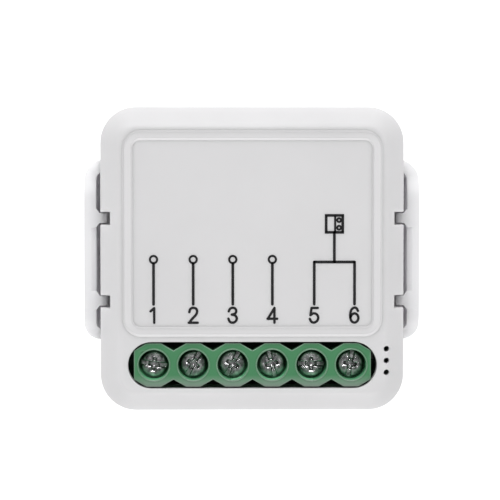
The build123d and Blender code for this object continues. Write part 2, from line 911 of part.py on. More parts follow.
def make_filter_capacitor():
    radius = filter_diameter / 2
    z = board_top_z + radius + part_seat
    end_x = filter_x + filter_length / 2
    can = Pos(end_x, filter_y, z) * Rot(0, -quarter_turn, 0) * capacitor_can(radius, filter_length)
    for x, y in filter_lead_places():
        half = lead_size / 2
        can += block((end_x - lead_size, y - half, z - half), (x + half, y + half, z + half))
        can += lead(x, y, z)
    return can


def output_lead_places():
    return [(output_x, output_y + side * output_lead_spacing / 2) for side in (-1, 1)]


def make_output_capacitor():
    can = Pos(output_x, output_y, board_top_z + part_seat) * capacitor_can(output_diameter / 2, output_height)
    for x, y in output_lead_places():
        can += lead(x, y, board_top_z + 2 * part_seat)
    return can


def varistor_lead_places():
    y = filter_y
    return [(varistor_x, y + side * varistor_lead_spacing / 2) for side in (-1, 1)]


def make_varistor():
    # A disc on edge.
    radius = varistor_diameter / 2
    z = board_top_z + varistor_lift + radius
    disc = Pos(varistor_x, filter_y, z) * Rot(0, quarter_turn, 0) * Cylinder(radius, varistor_thickness)
    for x, y in varistor_lead_places():
        disc += lead(x, y, z)
    return disc


def fuse_lead_places():
    return [(fuse_x, fuse_y), (fuse_x, fuse_y + fuse_lead_spacing)]


def make_fuse_resistor():
    # A lacquered rod on end, with one lead bent over and down.
    low = board_top_z + fuse_lift
    high = low + fuse_length
    body = rod(fuse_diameter / 2, fuse_x, fuse_y, low, high)
    (x, y), (_, far_y) = fuse_lead_places()
    half = lead_size / 2
    body += lead(x, y, low + lead_size) + lead(x, far_y, high + 2 * lead_size)
    body += block((x - half, y - half, high - lead_size), (x + half, y + half, high + 2 * lead_size))
    return body + block((x - half, y - half, high + lead_size), (x + half, far_y + half, high + 2 * lead_size))


def choke_lead_places():
    return [(choke_x + side * choke_lead_spacing / 2, choke_y) for side in (-1, 1)]


def make_choke():
    radius = choke_diameter / 2
    profile = Polygon(
        (0, 0), (radius, 0), (radius, choke_flange), (radius - choke_waist, choke_flange),
        (radius - choke_waist, choke_height - choke_flange), (radius, choke_height - choke_flange),
        (radius, choke_height), (0, choke_height), align=None,
    )
    choke = Pos(choke_x, choke_y, board_top_z + part_seat) * revolve(Plane.XZ * profile, Axis.Z)
    for x, y in choke_lead_places():
        choke += lead(x, y, board_top_z + 2 * part_seat)
    return choke


def flat_package(x, y, length, width, height, leads_per_side):
    # A moulded chip with bent leads along its two long sides.
    low = board_top_z + chip_lift
    body = block((x - length / 2, y - width / 2, low), (x + length / 2, y + width / 2, low + height))
    pitch = length / leads_per_side
    knee = board_top_z + height / 2
    for side in (-1, 1):
        y_in, y_out = y + side * (width / 2 - chip_lead_thickness), y + side * (width / 2 + chip_lead_reach)
        y_knee = y + side * (width / 2 + chip_lead_reach / 2)
        for n in range(leads_per_side):
            lead_x = x + (n - (leads_per_side - 1) / 2) * pitch
            low_x, high_x = lead_x - chip_lead_width / 2, lead_x + chip_lead_width / 2
            body += block(
                (low_x, min(y_in, y_knee), knee - chip_lead_thickness), (high_x, max(y_in, y_knee), knee)
            )
            inner = y_knee - side * chip_lead_thickness
            body += block((low_x, min(inner, y_knee), board_top_z), (high_x, max(inner, y_knee), knee))
            body += block(
                (low_x, min(inner, y_out), board_top_z),
                (high_x, max(inner, y_out), board_top_z + chip_lead_thickness),
            )
    return body


def make_bridge_rectifier():
    return flat_package(bridge_x, bridge_y, bridge_length, bridge_width, bridge_height, bridge_leads_per_side)


def make_control_chip():
    return flat_package(chip_x, chip_y, chip_length, chip_width, chip_height, chip_leads_per_side)


def make_optocoupler():
    return flat_package(
        coupler_x, coupler_y, coupler_length, coupler_width, coupler_height, coupler_leads_per_side
    )


def make_small_passives():
    # A row of chip resistors and capacitors on the board's back.
    row = Part()
    pitch = board_width / (passive_count + 2)
    y = relay_y
    for n in range(passive_count):
        x = (n - (passive_count - 1) / 2) * pitch
        row += block(
            (x - passive_length / 2, y - passive_width / 2, board_bottom_z - passive_height),
            (x + passive_length / 2, y + passive_width / 2, board_bottom_z),
        )
    return row


def make_status_led():
    low = (led_x - led_width / 2, indicator_y - led_length / 2, board_top_z)
    high = (led_x + led_width / 2, indicator_y + led_length / 2, board_top_z + led_height)
    return block(low, high)


def make_radio_board():
    plan = Pos(radio_x, board_top_z + part_seat + radio_height / 2) * RectangleRounded(
        radio_length, radio_height, radio_corner
    )
    return extrude_along_y(plan, radio_y, radio_y + radio_thickness)


def make_radio_shield():
    low_z = board_top_z + part_seat + shield_lift
    low_x = radio_x - shield_length / 2
    y = radio_y + radio_thickness
    can = block((low_x, y, low_z), (low_x + shield_length, y + shield_depth, low_z + shield_height))
    return can - block(
        (low_x + shield_wall, y - overrun, low_z + shield_wall),
        (low_x + shield_length - shield_wall, y + shield_depth - shield_wall, low_z + shield_height - shield_wall),
    )


def header_lead_places():
    y = radio_y - header_bar / 2
    start = radio_x - (header_pin_count - 1) * header_pitch / 2
    return [(start + n * header_pitch, y) for n in range(header_pin_count)]


def make_radio_header():
    half = header_pin_count * header_pitch / 2
    bar = block(
        (radio_x - half, radio_y - header_bar, board_top_z), (radio_x + half, radio_y, board_top_z + header_bar)
    )
    for x, y in header_lead_places():
        bar += lead(x, y, board_top_z + 2 * header_bar)
    return bar


def all_lead_places():
    return (
        relay_pin_places() + bobbin_pin_places() + filter_lead_places() + output_lead_places()
        + varistor_lead_places() + fuse_lead_places() + choke_lead_places() + header_lead_places()
        + switch_lead_places()
    )


def make_main_board():
    board = extrude_up(RectangleRounded(board_width, board_height, board_corner), board_bottom_z, board_top_z)
    low_z, high_z = board_bottom_z - overrun, board_top_z + overrun
    for x, y in post_places:
        board -= square_bar(post_pin_width + 2 * post_fit, x, y, low_z, high_z)
    for x, y in all_lead_places():
        board -= square_bar(lead_size + 2 * lead_fit, x, y, low_z, high_z)
    half = bar_pin_width / 2 + lead_fit
    for x in pole_places:
        board -= block(
            (x - half, leg_front_y - lead_fit, low_z), (x + half, leg_front_y + bar_thickness + lead_fit, high_z)
        )
    return board


def all_nodes():
    nodes = {
        "front_cover": make_front_cover(),
        "rear_cover": make_rear_cover(),
        "mounting_bracket": make_mounting_bracket(),
        "terminal_housing": make_terminal_housing(),
        "main_board": make_main_board(),
        "pairing_button": make_pairing_button(),
        "tact_switch_body": make_tact_switch_body(),
        "tact_switch_stem": make_tact_switch_stem(),
        "relay": make_relay(),
        "transformer_core": make_transformer_core(),
        "transformer_bobbin": make_transformer_bobbin(),
        "transformer_winding": make_transformer_winding(),
        "filter_capacitor": make_filter_capacitor(),
        "output_capacitor": make_output_capacitor(),
        "varistor": make_varistor(),
        "fuse_resistor": make_fuse_resistor(),
        "choke": make_choke(),
        "bridge_rectifier": make_bridge_rectifier(),
        "control_chip": make_control_chip(),
        "optocoupler": make_optocoupler(),
        "small_passives": make_small_passives(),
        "status_led": make_status_led(),
        "radio_board": make_radio_board(),
        "radio_shield": make_radio_shield(),
        "radio_header": make_radio_header(),
    }
    for i in range(pole_count):
        nodes[f"terminal_screw_{i + 1}"] = make_terminal_screw(i)
        nodes[f"clamp_cage_{i + 1}"] = make_clamp_cage(i)
        nodes[f"contact_bar_{i + 1}"] = make_contact_bar(i)
    return nodes


os.makedirs("parts", exist_ok=True)
for name, shape in all_nodes().items():
    export_step(shape, f"parts/{name}.step")
print("case depth", round(front_z - rear_z, 3), "overall depth", round(front_z, 3))
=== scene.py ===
# Garage door controller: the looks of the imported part, piece by piece.
import math

import bmesh
import bpy
import numpy as np
from mathutils import Matrix, Vector


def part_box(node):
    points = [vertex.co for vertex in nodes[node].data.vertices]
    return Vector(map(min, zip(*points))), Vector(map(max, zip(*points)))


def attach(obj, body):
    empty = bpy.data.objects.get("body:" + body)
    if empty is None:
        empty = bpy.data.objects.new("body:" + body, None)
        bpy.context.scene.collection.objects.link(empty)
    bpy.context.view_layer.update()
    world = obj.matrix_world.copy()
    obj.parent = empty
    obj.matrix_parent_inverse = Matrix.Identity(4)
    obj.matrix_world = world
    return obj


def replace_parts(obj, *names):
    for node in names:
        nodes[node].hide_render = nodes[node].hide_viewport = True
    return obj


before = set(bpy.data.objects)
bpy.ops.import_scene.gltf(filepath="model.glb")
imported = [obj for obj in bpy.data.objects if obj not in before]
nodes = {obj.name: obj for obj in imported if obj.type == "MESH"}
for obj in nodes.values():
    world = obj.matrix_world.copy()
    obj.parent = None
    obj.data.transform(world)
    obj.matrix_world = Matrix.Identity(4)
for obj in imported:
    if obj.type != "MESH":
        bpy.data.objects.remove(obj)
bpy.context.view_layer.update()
mm = 0.001
print("frame loaded with", len(nodes), "nodes")


# Faces of a grid: each cell joins point (r, c) to its neighbours in the next column and the next row.
# A closed direction joins its last line to its first one.
def gridFaces(rows, columns, closeRows=False, closeColumns=True):
    r, c = np.indices((rows - (not closeRows), columns - (not closeColumns))).reshape(2, -1)
    rNext, cNext = (r + 1) % rows, (c + 1) % columns
    return np.stack([r * columns + c, r * columns + cNext, rNext * columns + cNext, rNext * columns + c], axis=1)


# A pole is a fan of triangles from one point to the line of points beside it.
def poleFaces(pole, line):
    return np.stack([np.full(len(line), pole), line, np.roll(line, -1)], axis=1)


# Several shapes in one mesh: each one's face numbers are moved on by the points before it.
def joinShapes(shapes):
    starts = np.concatenate([[0], np.cumsum([len(points) for points, _ in shapes])[:-1]])
    allFaces = []
    for start, (_, faces) in zip(starts, shapes):
        allFaces += [[int(corner + start) for corner in face] for face in faces]
    return np.concatenate([points for points, _ in shapes]), allFaces


# Rings of points about an upright axis: the radius times the turn's cosine and sine, and the height.
# Radius and height hold one value a ring, or one for each of its points.
def ringGrid(radius, height, columns):
    turn = np.arange(columns) * 2 * np.pi / columns
    radius, height = (np.reshape(part, (len(part), -1)) for part in (radius, height))
    return np.stack([radius * np.cos(turn), radius * np.sin(turn), height + 0 * turn], axis=-1)


# A closed body from a grid of rings and its two poles, each with a fan to the ring beside it.
def poledSolid(grid, poles):
    rows, columns = grid.shape[:2]
    faces = gridFaces(rows, columns).tolist()
    faces += poleFaces(rows * columns, np.arange(columns)).tolist()
    faces += poleFaces(rows * columns + 1, (rows - 1) * columns + np.arange(columns)).tolist()
    return np.concatenate([grid.reshape(-1, 3), poles]), faces


# A closed profile of (radius, height) turned about an upright axis at (x, y).
def revolveLoop(profile, x, y, columns):
    radius, height = np.asarray(profile).T
    grid = ringGrid(radius, height, columns) + [x, y, 0]
    return grid.reshape(-1, 3), gridFaces(len(radius), columns, closeRows=True)


# A closed body of revolution: a profile of (radius, place along the axis) from one pole to the other.
# The axis is "x" or "z" and runs through the given centre.
def revolveSolid(profile, centre, axis="z", columns=64):
    radius, along = np.asarray(profile, dtype=float).T
    poles = [[0, 0, along[0]], [0, 0, along[-1]]]
    points, faces = poledSolid(ringGrid(radius[1:-1], along[1:-1], columns), poles)
    if axis == "x":
        points = np.roll(points, 1, axis=1)
    return points + centre, faces


# A bar between two opposite corners, as a loop of four points carried from its low end to its high end.
def barShape(low, high):
    x0, y0, z0 = low
    x1, y1, z1 = high
    loop = np.array([[x0, y0], [x1, y0], [x1, y1], [x0, y1]])
    points = np.concatenate([np.column_stack([loop, np.full(4, z)]) for z in (z0, z1)])
    return points, [[3, 2, 1, 0], [4, 5, 6, 7]] + gridFaces(2, 4).tolist()


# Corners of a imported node's box in millimetres.
def boxOf(nodeName):
    low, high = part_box(nodeName)
    return np.array(low) / mm, np.array(high) / mm


# Smooth S from 0 to 1 over the value's first unit: 3t^2 - 2t^3.
def smoothStep(value):
    t = np.clip(value, 0, 1)
    return t * t * (3 - 2 * t)


# Places of a mesh's vertices in millimetres.
def meshSpots(mesh):
    places = np.empty(len(mesh.vertices) * 3)
    mesh.vertices.foreach_get("co", places)
    return places.reshape(-1, 3) / mm


# A new object of the given data, linked to the scene.
def addObject(name, data):
    made = bpy.data.objects.new(name, data)
    bpy.context.scene.collection.objects.link(made)
    return made


# Smooth faces in one look, with the corners above the angle kept sharp.
def finishMesh(mesh, look, angle):
    mesh.shade_smooth()
    mesh.set_sharp_from_angle(angle=math.radians(angle))
    mesh.materials.clear()
    mesh.materials.append(materials[look])


# Shapes in millimetres become one mesh in metres. The slot has the look's name.
# The normals are worked out again, so that every closed shape faces outwards.
def makePiece(name, shapes, look, angle, body="module"):
    points, faces = joinShapes(shapes)
    mesh = bpy.data.meshes.new(name)
    mesh.from_pydata((points * mm).tolist(), [], faces)
    work = bmesh.new()
    work.from_mesh(mesh)
    bmesh.ops.recalc_face_normals(work, faces=work.faces)
    work.to_mesh(mesh)
    work.free()
    finishMesh(mesh, look, angle)
    piece = addObject(name, mesh)
    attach(piece, body)
    return piece


merging = {"reach": 0.0004, "flatAngle": 0.6, "sharpAngle": 32, "bevelSteps": 2}


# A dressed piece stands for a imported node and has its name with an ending. A copy of the node's mesh goes through the
# raise rule, its doubled points are merged, its flat faces are joined, its corners are marked by their angle, and a
# narrow bevel rounds them where the piece has one. A normal rule gives the faces that it knows their true normals.
def dressNode(nodeName, ending, look, body="module", softEdge=0.0, raiseRule=None, normalRule=None):
    mesh = nodes[nodeName].data.copy()
    mesh.name = nodeName + ending
    if raiseRule:
        mesh.vertices.foreach_set("co", (raiseRule(meshSpots(mesh)) * mm).ravel())
    work = bmesh.new()
    work.from_mesh(mesh)
    bmesh.ops.remove_doubles(work, verts=work.verts, dist=merging["reach"] * mm)
    bmesh.ops.dissolve_limit(work, angle_limit=math.radians(merging["flatAngle"]), verts=work.verts,
                             edges=work.edges)
    work.to_mesh(mesh)
    work.free()
    finishMesh(mesh, look, merging["sharpAngle"])
    piece = addObject(mesh.name, mesh)
    if softEdge:
        bevel = piece.modifiers.new("softEdge", "BEVEL")
        bevel.width = softEdge * mm
        bevel.segments = merging["bevelSteps"]
        bevel.limit_method = "ANGLE"
        bevel.angle_limit = math.radians(merging["sharpAngle"])
    if normalRule:
        mesh.normals_split_custom_set(normalRule(mesh).tolist())
    else:
        piece.modifiers.new("flatFaces", "WEIGHTED_NORMAL").keep_sharp = True
    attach(piece, body)
    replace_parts(piece, nodeName)


# A shader group puts out values or masks that change over the surface, and vectors where it has any.
def newGroup(name, inputs, outputs, vectors=()):
    group = bpy.data.node_groups.new(name, "ShaderNodeTree")
    for label, value in inputs.items():
        group.interface.new_socket(label, in_out="INPUT", socket_type="NodeSocketFloat").default_value = value
    for labels, kind in ((outputs, "NodeSocketFloat"), (vectors, "NodeSocketVector")):
        for label in labels:
            group.interface.new_socket(label, in_out="OUTPUT", socket_type=kind)
    return group, group.nodes.new("NodeGroupInput").outputs, group.nodes.new("NodeGroupOutput")


# Inputs of a node by their labels: a number or a colour is set, and anything else is linked.
def feed(tree, node, inputs):
    for label, value in inputs.items():
        if isinstance(value, (int, float, tuple)):
            node.inputs[label].default_value = value + (1.0,) if isinstance(value, tuple) else value
        elif value is not None:
            tree.links.new(value, node.inputs[label])


# One step of arithmetic on sockets or numbers; clamped, it stays between 0 and 1.
def mathNode(tree, operation, first, second=None, clamp=False):
    node = tree.nodes.new("ShaderNodeMath")
    node.operation = operation
    node.use_clamp = clamp
    feed(tree, node, {0: first, 1: second})
    return node.outputs[0]


# Sum, difference and product.
plus, minus, times = (lambda tree, *parts, kind=kind: mathNode(tree, kind, *parts)
                      for kind in ("ADD", "SUBTRACT", "MULTIPLY"))


# Place on the piece as its X, Y and Z.
def objectAxes(tree):
    split = tree.nodes.new("ShaderNodeSeparateXYZ")
    feed(tree, split, {0: tree.nodes.new("ShaderNodeTexCoord").outputs["Object"]})
    return split.outputs


# Noise over the piece, as a value about one half.
def noiseNode(tree, scale, detail=3.0, roughness=0.55):
    node = tree.nodes.new("ShaderNodeTexNoise")
    feed(tree, node, {"Vector": tree.nodes.new("ShaderNodeTexCoord").outputs["Object"], "Scale": scale,
                      "Detail": detail, "Roughness": roughness})
    return node.outputs["Fac"]


# Moulded grain: fine spark texture of the mould as a height, and a slow cloud that shifts the tint.
def buildMouldGrain():
    group, given, result = newGroup("mouldGrain", {"Scale": 2600, "Cloud Scale": 70}, ["Height", "Cloud"])
    feed(group, result, {"Height": noiseNode(group, given["Scale"], detail=4.0, roughness=0.6),
                         "Cloud": noiseNode(group, given["Cloud Scale"])})
    return group


raySamples = 6
wearAndHighlightPattern = {"gain": 14.0, "noiseScale": 900, "broken": 0.7, "even": 0.3}


# Corner wear and painted highlight: where the rounded normal leaves the true one there is an edge; a noise breaks it
# up, and the paler colour there is wear and a painted highlight of the light that edges catch.
# The rounded normal is put out too, so that edges catch the light.
def buildCornerWearAndHighlight():
    group, given, result = newGroup("cornerWearAndHighlight", {"Radius": 0.0002, "Strength": 1.0}, ["Mask"], ["Rounded"])
    rounded = group.nodes.new("ShaderNodeBevel")
    rounded.samples = raySamples
    feed(group, rounded, {"Radius": given["Radius"]})
    dot = group.nodes.new("ShaderNodeVectorMath")
    dot.operation = "DOT_PRODUCT"
    feed(group, dot, {0: rounded.outputs["Normal"], 1: group.nodes.new("ShaderNodeNewGeometry").outputs["Normal"]})
    corner = times(group, minus(group, 1.0, dot.outputs["Value"]), wearAndHighlightPattern["gain"], True)
    noise = times(group, noiseNode(group, wearAndHighlightPattern["noiseScale"]), wearAndHighlightPattern["broken"])
    worn = times(group, corner, plus(group, noise, wearAndHighlightPattern["even"]))
    feed(group, result, {"Mask": times(group, worn, given["Strength"], True), "Rounded": rounded.outputs["Normal"]})
    return group


# Crevice dust and painted shade: the share of the sky that a point can't see within the distance, made softer by a
# power; it paints shade into crevices and gaps as well as dust.
def buildCreviceDustAndShade():
    group, given, result = newGroup("creviceDustAndShade", {"Distance": 0.002, "Power": 1.5, "Strength": 0.5}, ["Mask"])
    seen = group.nodes.new("ShaderNodeAmbientOcclusion")
    seen.samples = raySamples
    feed(group, seen, {"Distance": given["Distance"]})
    hidden = mathNode(group, "POWER", minus(group, 1.0, seen.outputs["AO"], True), given["Power"])
    feed(group, result, {"Mask": times(group, hidden, given["Strength"], True)})
    return group


ringWobble = {"noiseScale": 500, "reach": 0.00012}


# Turned rings: distance from the nearest pole's axis, as a fine sine wave that wobbles; x is wrapped by the pitch.
def buildTurnedRings():
    inputs = {"First X": 0.0, "Row Y": 0.0, "Pitch": 0.00508, "Spacing": 0.00012}
    group, given, result = newGroup("turnedRings", inputs, ["Height", "Radius"])
    place = objectAxes(group)
    half = times(group, given["Pitch"], 0.5)
    shifted = plus(group, minus(group, place["X"], given["First X"]), half)
    wrapped = minus(group, mathNode(group, "FLOORED_MODULO", shifted, given["Pitch"]), half)
    down = minus(group, place["Y"], given["Row Y"])
    radius = mathNode(group, "SQRT", plus(group, times(group, wrapped, wrapped), times(group, down, down)))
    wobble = plus(group, radius, times(group, noiseNode(group, ringWobble["noiseScale"]), ringWobble["reach"]))
    turns = times(group, mathNode(group, "DIVIDE", wobble, given["Spacing"]), 2 * math.pi)
    feed(group, result, {"Height": mathNode(group, "SINE", turns), "Radius": radius})
    return group


# Layered turns: a rounded ridge for each turn of wire or each pressed line, counted along one direction.
# The shade is the ridge's root.
def buildLayeredTurns():
    inputs = {"Along X": 0.0, "Along Y": 0.0, "Along Z": 1.0, "Spacing": 0.0003}
    group, given, result = newGroup("layeredTurns", inputs, ["Height", "Shade"])
    place = objectAxes(group)
    x, y, z = (times(group, place[axis], given["Along " + axis]) for axis in "XYZ")
    turns = times(group, mathNode(group, "DIVIDE", plus(group, plus(group, x, y), z), given["Spacing"]), math.pi)
    ridge = mathNode(group, "ABSOLUTE", mathNode(group, "SINE", turns))
    feed(group, result, {"Height": ridge, "Shade": mathNode(group, "POWER", ridge, 0.5)})
    return group


mouldGrain = buildMouldGrain()
cornerWearAndHighlight = buildCornerWearAndHighlight()
creviceDustAndShade = buildCreviceDustAndShade()
turnedRings = buildTurnedRings()
layeredTurns = buildLayeredTurns()
print("shader groups ready")


# Outputs of a group used in a material. Its values go by label, where a low line stands for a blank.
def useGroup(tree, group, **values):
    node = tree.nodes.new("ShaderNodeGroup")
    node.node_tree = group
    feed(tree, node, {label.replace("_", " "): value for label, value in values.items()})
    return node.outputs


# Mix of two colours: the first one where the amount is 0, the second where it is 1.
def mixColours(tree, amount, first, second):
    node = tree.nodes.new("ShaderNodeMix")
    node.data_type = "RGBA"
    feed(tree, node, {0: amount, 6: first, 7: second})
    return node.outputs[2]


# Even map of a value from one range to another, held at both ends.
def spread(tree, value, low, high, fromLow=0.3, fromHigh=0.7):
    node = tree.nodes.new("ShaderNodeMapRange")
    feed(tree, node, {"Value": value, "From Min": fromLow, "From Max": fromHigh, "To Min": low, "To Max": high})
    return node.outputs["Result"]


# Bump from a height and the look's depth, on top of the rounded normal where there is one.
def bumpFrom(tree, shader, look, height, rounded=None):
    node = tree.nodes.new("ShaderNodeBump")
    feed(tree, node, {"Height": height, "Distance": look["grainDepth"] * mm, "Strength": look["bump"],
                      "Normal": rounded})
    feed(tree, shader, {"Normal": node.outputs["Normal"]})


# A new material with its tree and its shader.
def startMaterial(name):
    material = bpy.data.materials.new(name)
    material.use_nodes = True
    return material, material.node_tree, material.node_tree.nodes["Principled BSDF"]


# The grain, and a tint that goes from the colour to its second shade with the grain's slow cloud.
def cloudedColour(tree, look):
    grain = useGroup(tree, mouldGrain, Scale=look["grainScale"], Cloud_Scale=look["cloudScale"])
    return grain, mixColours(tree, spread(tree, grain["Cloud"], 0, 1), look["colour"], look["tint"])


# What plastic and metal share: grain, and a tint with worn corners that also paint highlights, the wells' colours with
# their painted light where it has any, and dust with painted shade.
def weatheredLook(name, look):
    material, tree, shader = startMaterial(name)
    grain, tint = cloudedColour(tree, look)
    wear = useGroup(tree, cornerWearAndHighlight, Radius=look["wearRadius"] * mm, Strength=look["wear"])
    dust = useGroup(tree, creviceDustAndShade, Distance=look["dustDepth"] * mm, Power=look["dustPower"],
                    Strength=look["dust"])
    # The paler worn colour on the edges is wear and a painted highlight.
    colour, mask = mixColours(tree, wear["Mask"], tint, look["worn"]), dust["Mask"]
    if "wells" in look:
        colour, mask = wellColours(tree, look, colour, mask)
    # The dark crevice colour is dust and painted shade where the sky is hidden.
    feed(tree, shader, {"Base Color": mixColours(tree, mask, colour, look["dusty"])})
    return material, tree, shader, grain, mask, wear["Rounded"]


# Terminal block by place: a painted pale sheen on the lobes' tops, from nothing at its upper end to full at its lower
# one.
# Each well's wall, inside the rim's radius, is painted a clear green in its lower half where light falls, and the wells
# get no dust or painted shade.
def wellColours(tree, look, colour, dust):
    wells = look["wells"]
    radius = useGroup(tree, turnedRings, **polePlace)["Radius"]
    place = objectAxes(tree)

    def within(value, low, high, ends):
        return spread(tree, value, low, high, ends[0] * mm, ends[1] * mm)
    film = times(tree, within(place["Y"], wells["film"], 0, wells["filmY"]),
                 within(place["Z"], 0, 1, wells["filmZ"]))
    colour = mixColours(tree, film, colour, wells["filmColour"])
    wall = mixColours(tree, within(place["Y"], 1, 0, wells["wallY"]), look["tint"], wells["wallColour"])
    colour = mixColours(tree, within(radius, 0, 1, wells["rim"]), wall, colour)
    return colour, times(tree, dust, within(radius, 0, 1, wells["dustEdge"]), True)


plasticGloss = {"cloud": 0.04, "dust": 0.25, "scatterColour": (1.0, 0.97, 1.0)}


# Moulded plastic: tint by the slow cloud, paler on worn corners that also paint highlights, darker by dust and painted
# shade and rougher in crevices, grain as a bump.
# A look with scatter lets light in.
def plasticLook(name, look):
    material, tree, shader, grain, dust, rounded = weatheredLook(name, look)
    gloss, cloud = look["gloss"], plasticGloss["cloud"]
    rough = spread(tree, grain["Cloud"], gloss - cloud, gloss + cloud)
    feed(tree, shader, {"Roughness": plus(tree, rough, times(tree, dust, plasticGloss["dust"]), True),
                        "Specular IOR Level": look["specular"]})
    bumpFrom(tree, shader, look, grain["Height"], rounded)
    if look.get("scatter"):
        feed(tree, shader, {"Subsurface Weight": look["scatter"], "Subsurface Scale": look["scatterReach"] * mm})
        shader.inputs["Subsurface Radius"].default_value = plasticGloss["scatterColour"]
    return material


metalGloss = (-0.05, 0.08)


# Metal: tarnish and painted shade in crevices, tarnish by the clouds, bright corners with painted highlights, and the
# ridges of the look's own group added to the grain.
def metalLook(name, look):
    material, tree, shader, grain, _, rounded = weatheredLook(name, look)
    rough = spread(tree, grain["Cloud"], *(look["gloss"] + change for change in metalGloss))
    feed(tree, shader, {"Metallic": 1.0, "Roughness": rough})
    ridges = useGroup(tree, look["ridges"], **look["ridgePlace"])["Height"]
    height = plus(tree, times(tree, ridges, look["ridgeShare"]), grain["Height"])
    bumpFrom(tree, shader, look, height, rounded)
    return material


poleNumbers = range(1, 7)
screwMiddle = [sum(boxOf("terminal_screw_%d" % number)) / 2 for number in poleNumbers]
screwX = np.linspace(round(screwMiddle[0][0], 2), round(screwMiddle[-1][0], 2), len(screwMiddle)).tolist()
rowY = round(screwMiddle[1][1], 2)
polePitch = (screwX[-1] - screwX[0]) / (len(screwX) - 1)
polePlace = {"First_X": screwX[0] * mm, "Row_Y": rowY * mm, "Pitch": polePitch * mm}
towerZ = boxOf("terminal_housing")[1][2]

# Looks by name. Their lengths are in millimetres and their scales in cycles a metre.
# The first one is what a look has where it says nothing else.
usualLook = {"cloudScale": 70.0, "dustPower": 1.5, "bump": 0.5, "specular": 0.5}
whiteCase = {
    "colour": (0.772, 0.767, 0.775), "tint": (0.742, 0.737, 0.745), "worn": (0.86, 0.86, 0.865),
    "dusty": (0.24, 0.24, 0.245), "grainScale": 3200, "grainDepth": 0.012, "wearRadius": 0.05, "wear": 0.35,
    "dustDepth": 0.4, "dust": 0.06, "gloss": 0.42, "bump": 0.35, "scatter": 0.6, "scatterReach": 1.2}
# The green's strong crevice mask and near-black crevice colour paint the shade in the deep gaps round the lobes, and
# its pale worn colour paints highlights on the lobes' edges.
greenBlock = {
    "colour": (0.068, 0.255, 0.112), "tint": (0.056, 0.22, 0.096), "worn": (0.4, 0.56, 0.44),
    "dusty": (0.06, 0.056, 0.057), "grainScale": 2600, "grainDepth": 0.01, "wearRadius": 0.26, "wear": 1.0,
    "dustDepth": 3.0, "dustPower": 2.4, "dust": 1.0, "gloss": 0.4, "bump": 0.4}
# Painted light on the terminal block: a pale sheen over the lower lobes and the lit lower half of each well's wall.
wellLook = {
    "film": 0.5, "filmColour": (0.46, 0.45, 0.46), "filmY": (rowY - 2.9, rowY - 1.3),
    "filmZ": (towerZ - 1.0, towerZ - 0.5), "wallColour": (0.18, 0.58, 0.3), "wallY": (rowY - 1.3, rowY + 0.3),
    "rim": (1.94, 1.98), "dustEdge": (2.03, 2.12)}
darkPlastic = {
    "colour": (0.02, 0.02, 0.022), "tint": (0.03, 0.03, 0.032), "worn": (0.085, 0.085, 0.085),
    "dusty": (0.055, 0.052, 0.048), "grainScale": 2400, "grainDepth": 0.012, "wearRadius": 0.12, "wear": 0.5,
    "dustDepth": 0.6, "dust": 0.35, "gloss": 0.45}
# The steel's crevice mask paints shade round the heads deep in the wells, and its bright worn colour paints highlights
# along the slot's and cross's edges.
zincSteel = {
    "colour": (0.8, 0.79, 0.8), "tint": (0.09, 0.09, 0.095), "worn": (0.96, 0.96, 0.96), "dusty": (0.03, 0.03, 0.03),
    "grainScale": 2400, "cloudScale": 1500, "grainDepth": 0.03, "wearRadius": 0.1, "wear": 1.5, "dustDepth": 0.8,
    "dustPower": 1.6, "dust": 0.8, "gloss": 0.09, "bump": 0.85, "ridges": turnedRings, "ridgeShare": 0.12,
    "ridgePlace": dict(polePlace, Spacing=0.00013)}
layeredMetal = dict(zincSteel, ridges=layeredTurns)
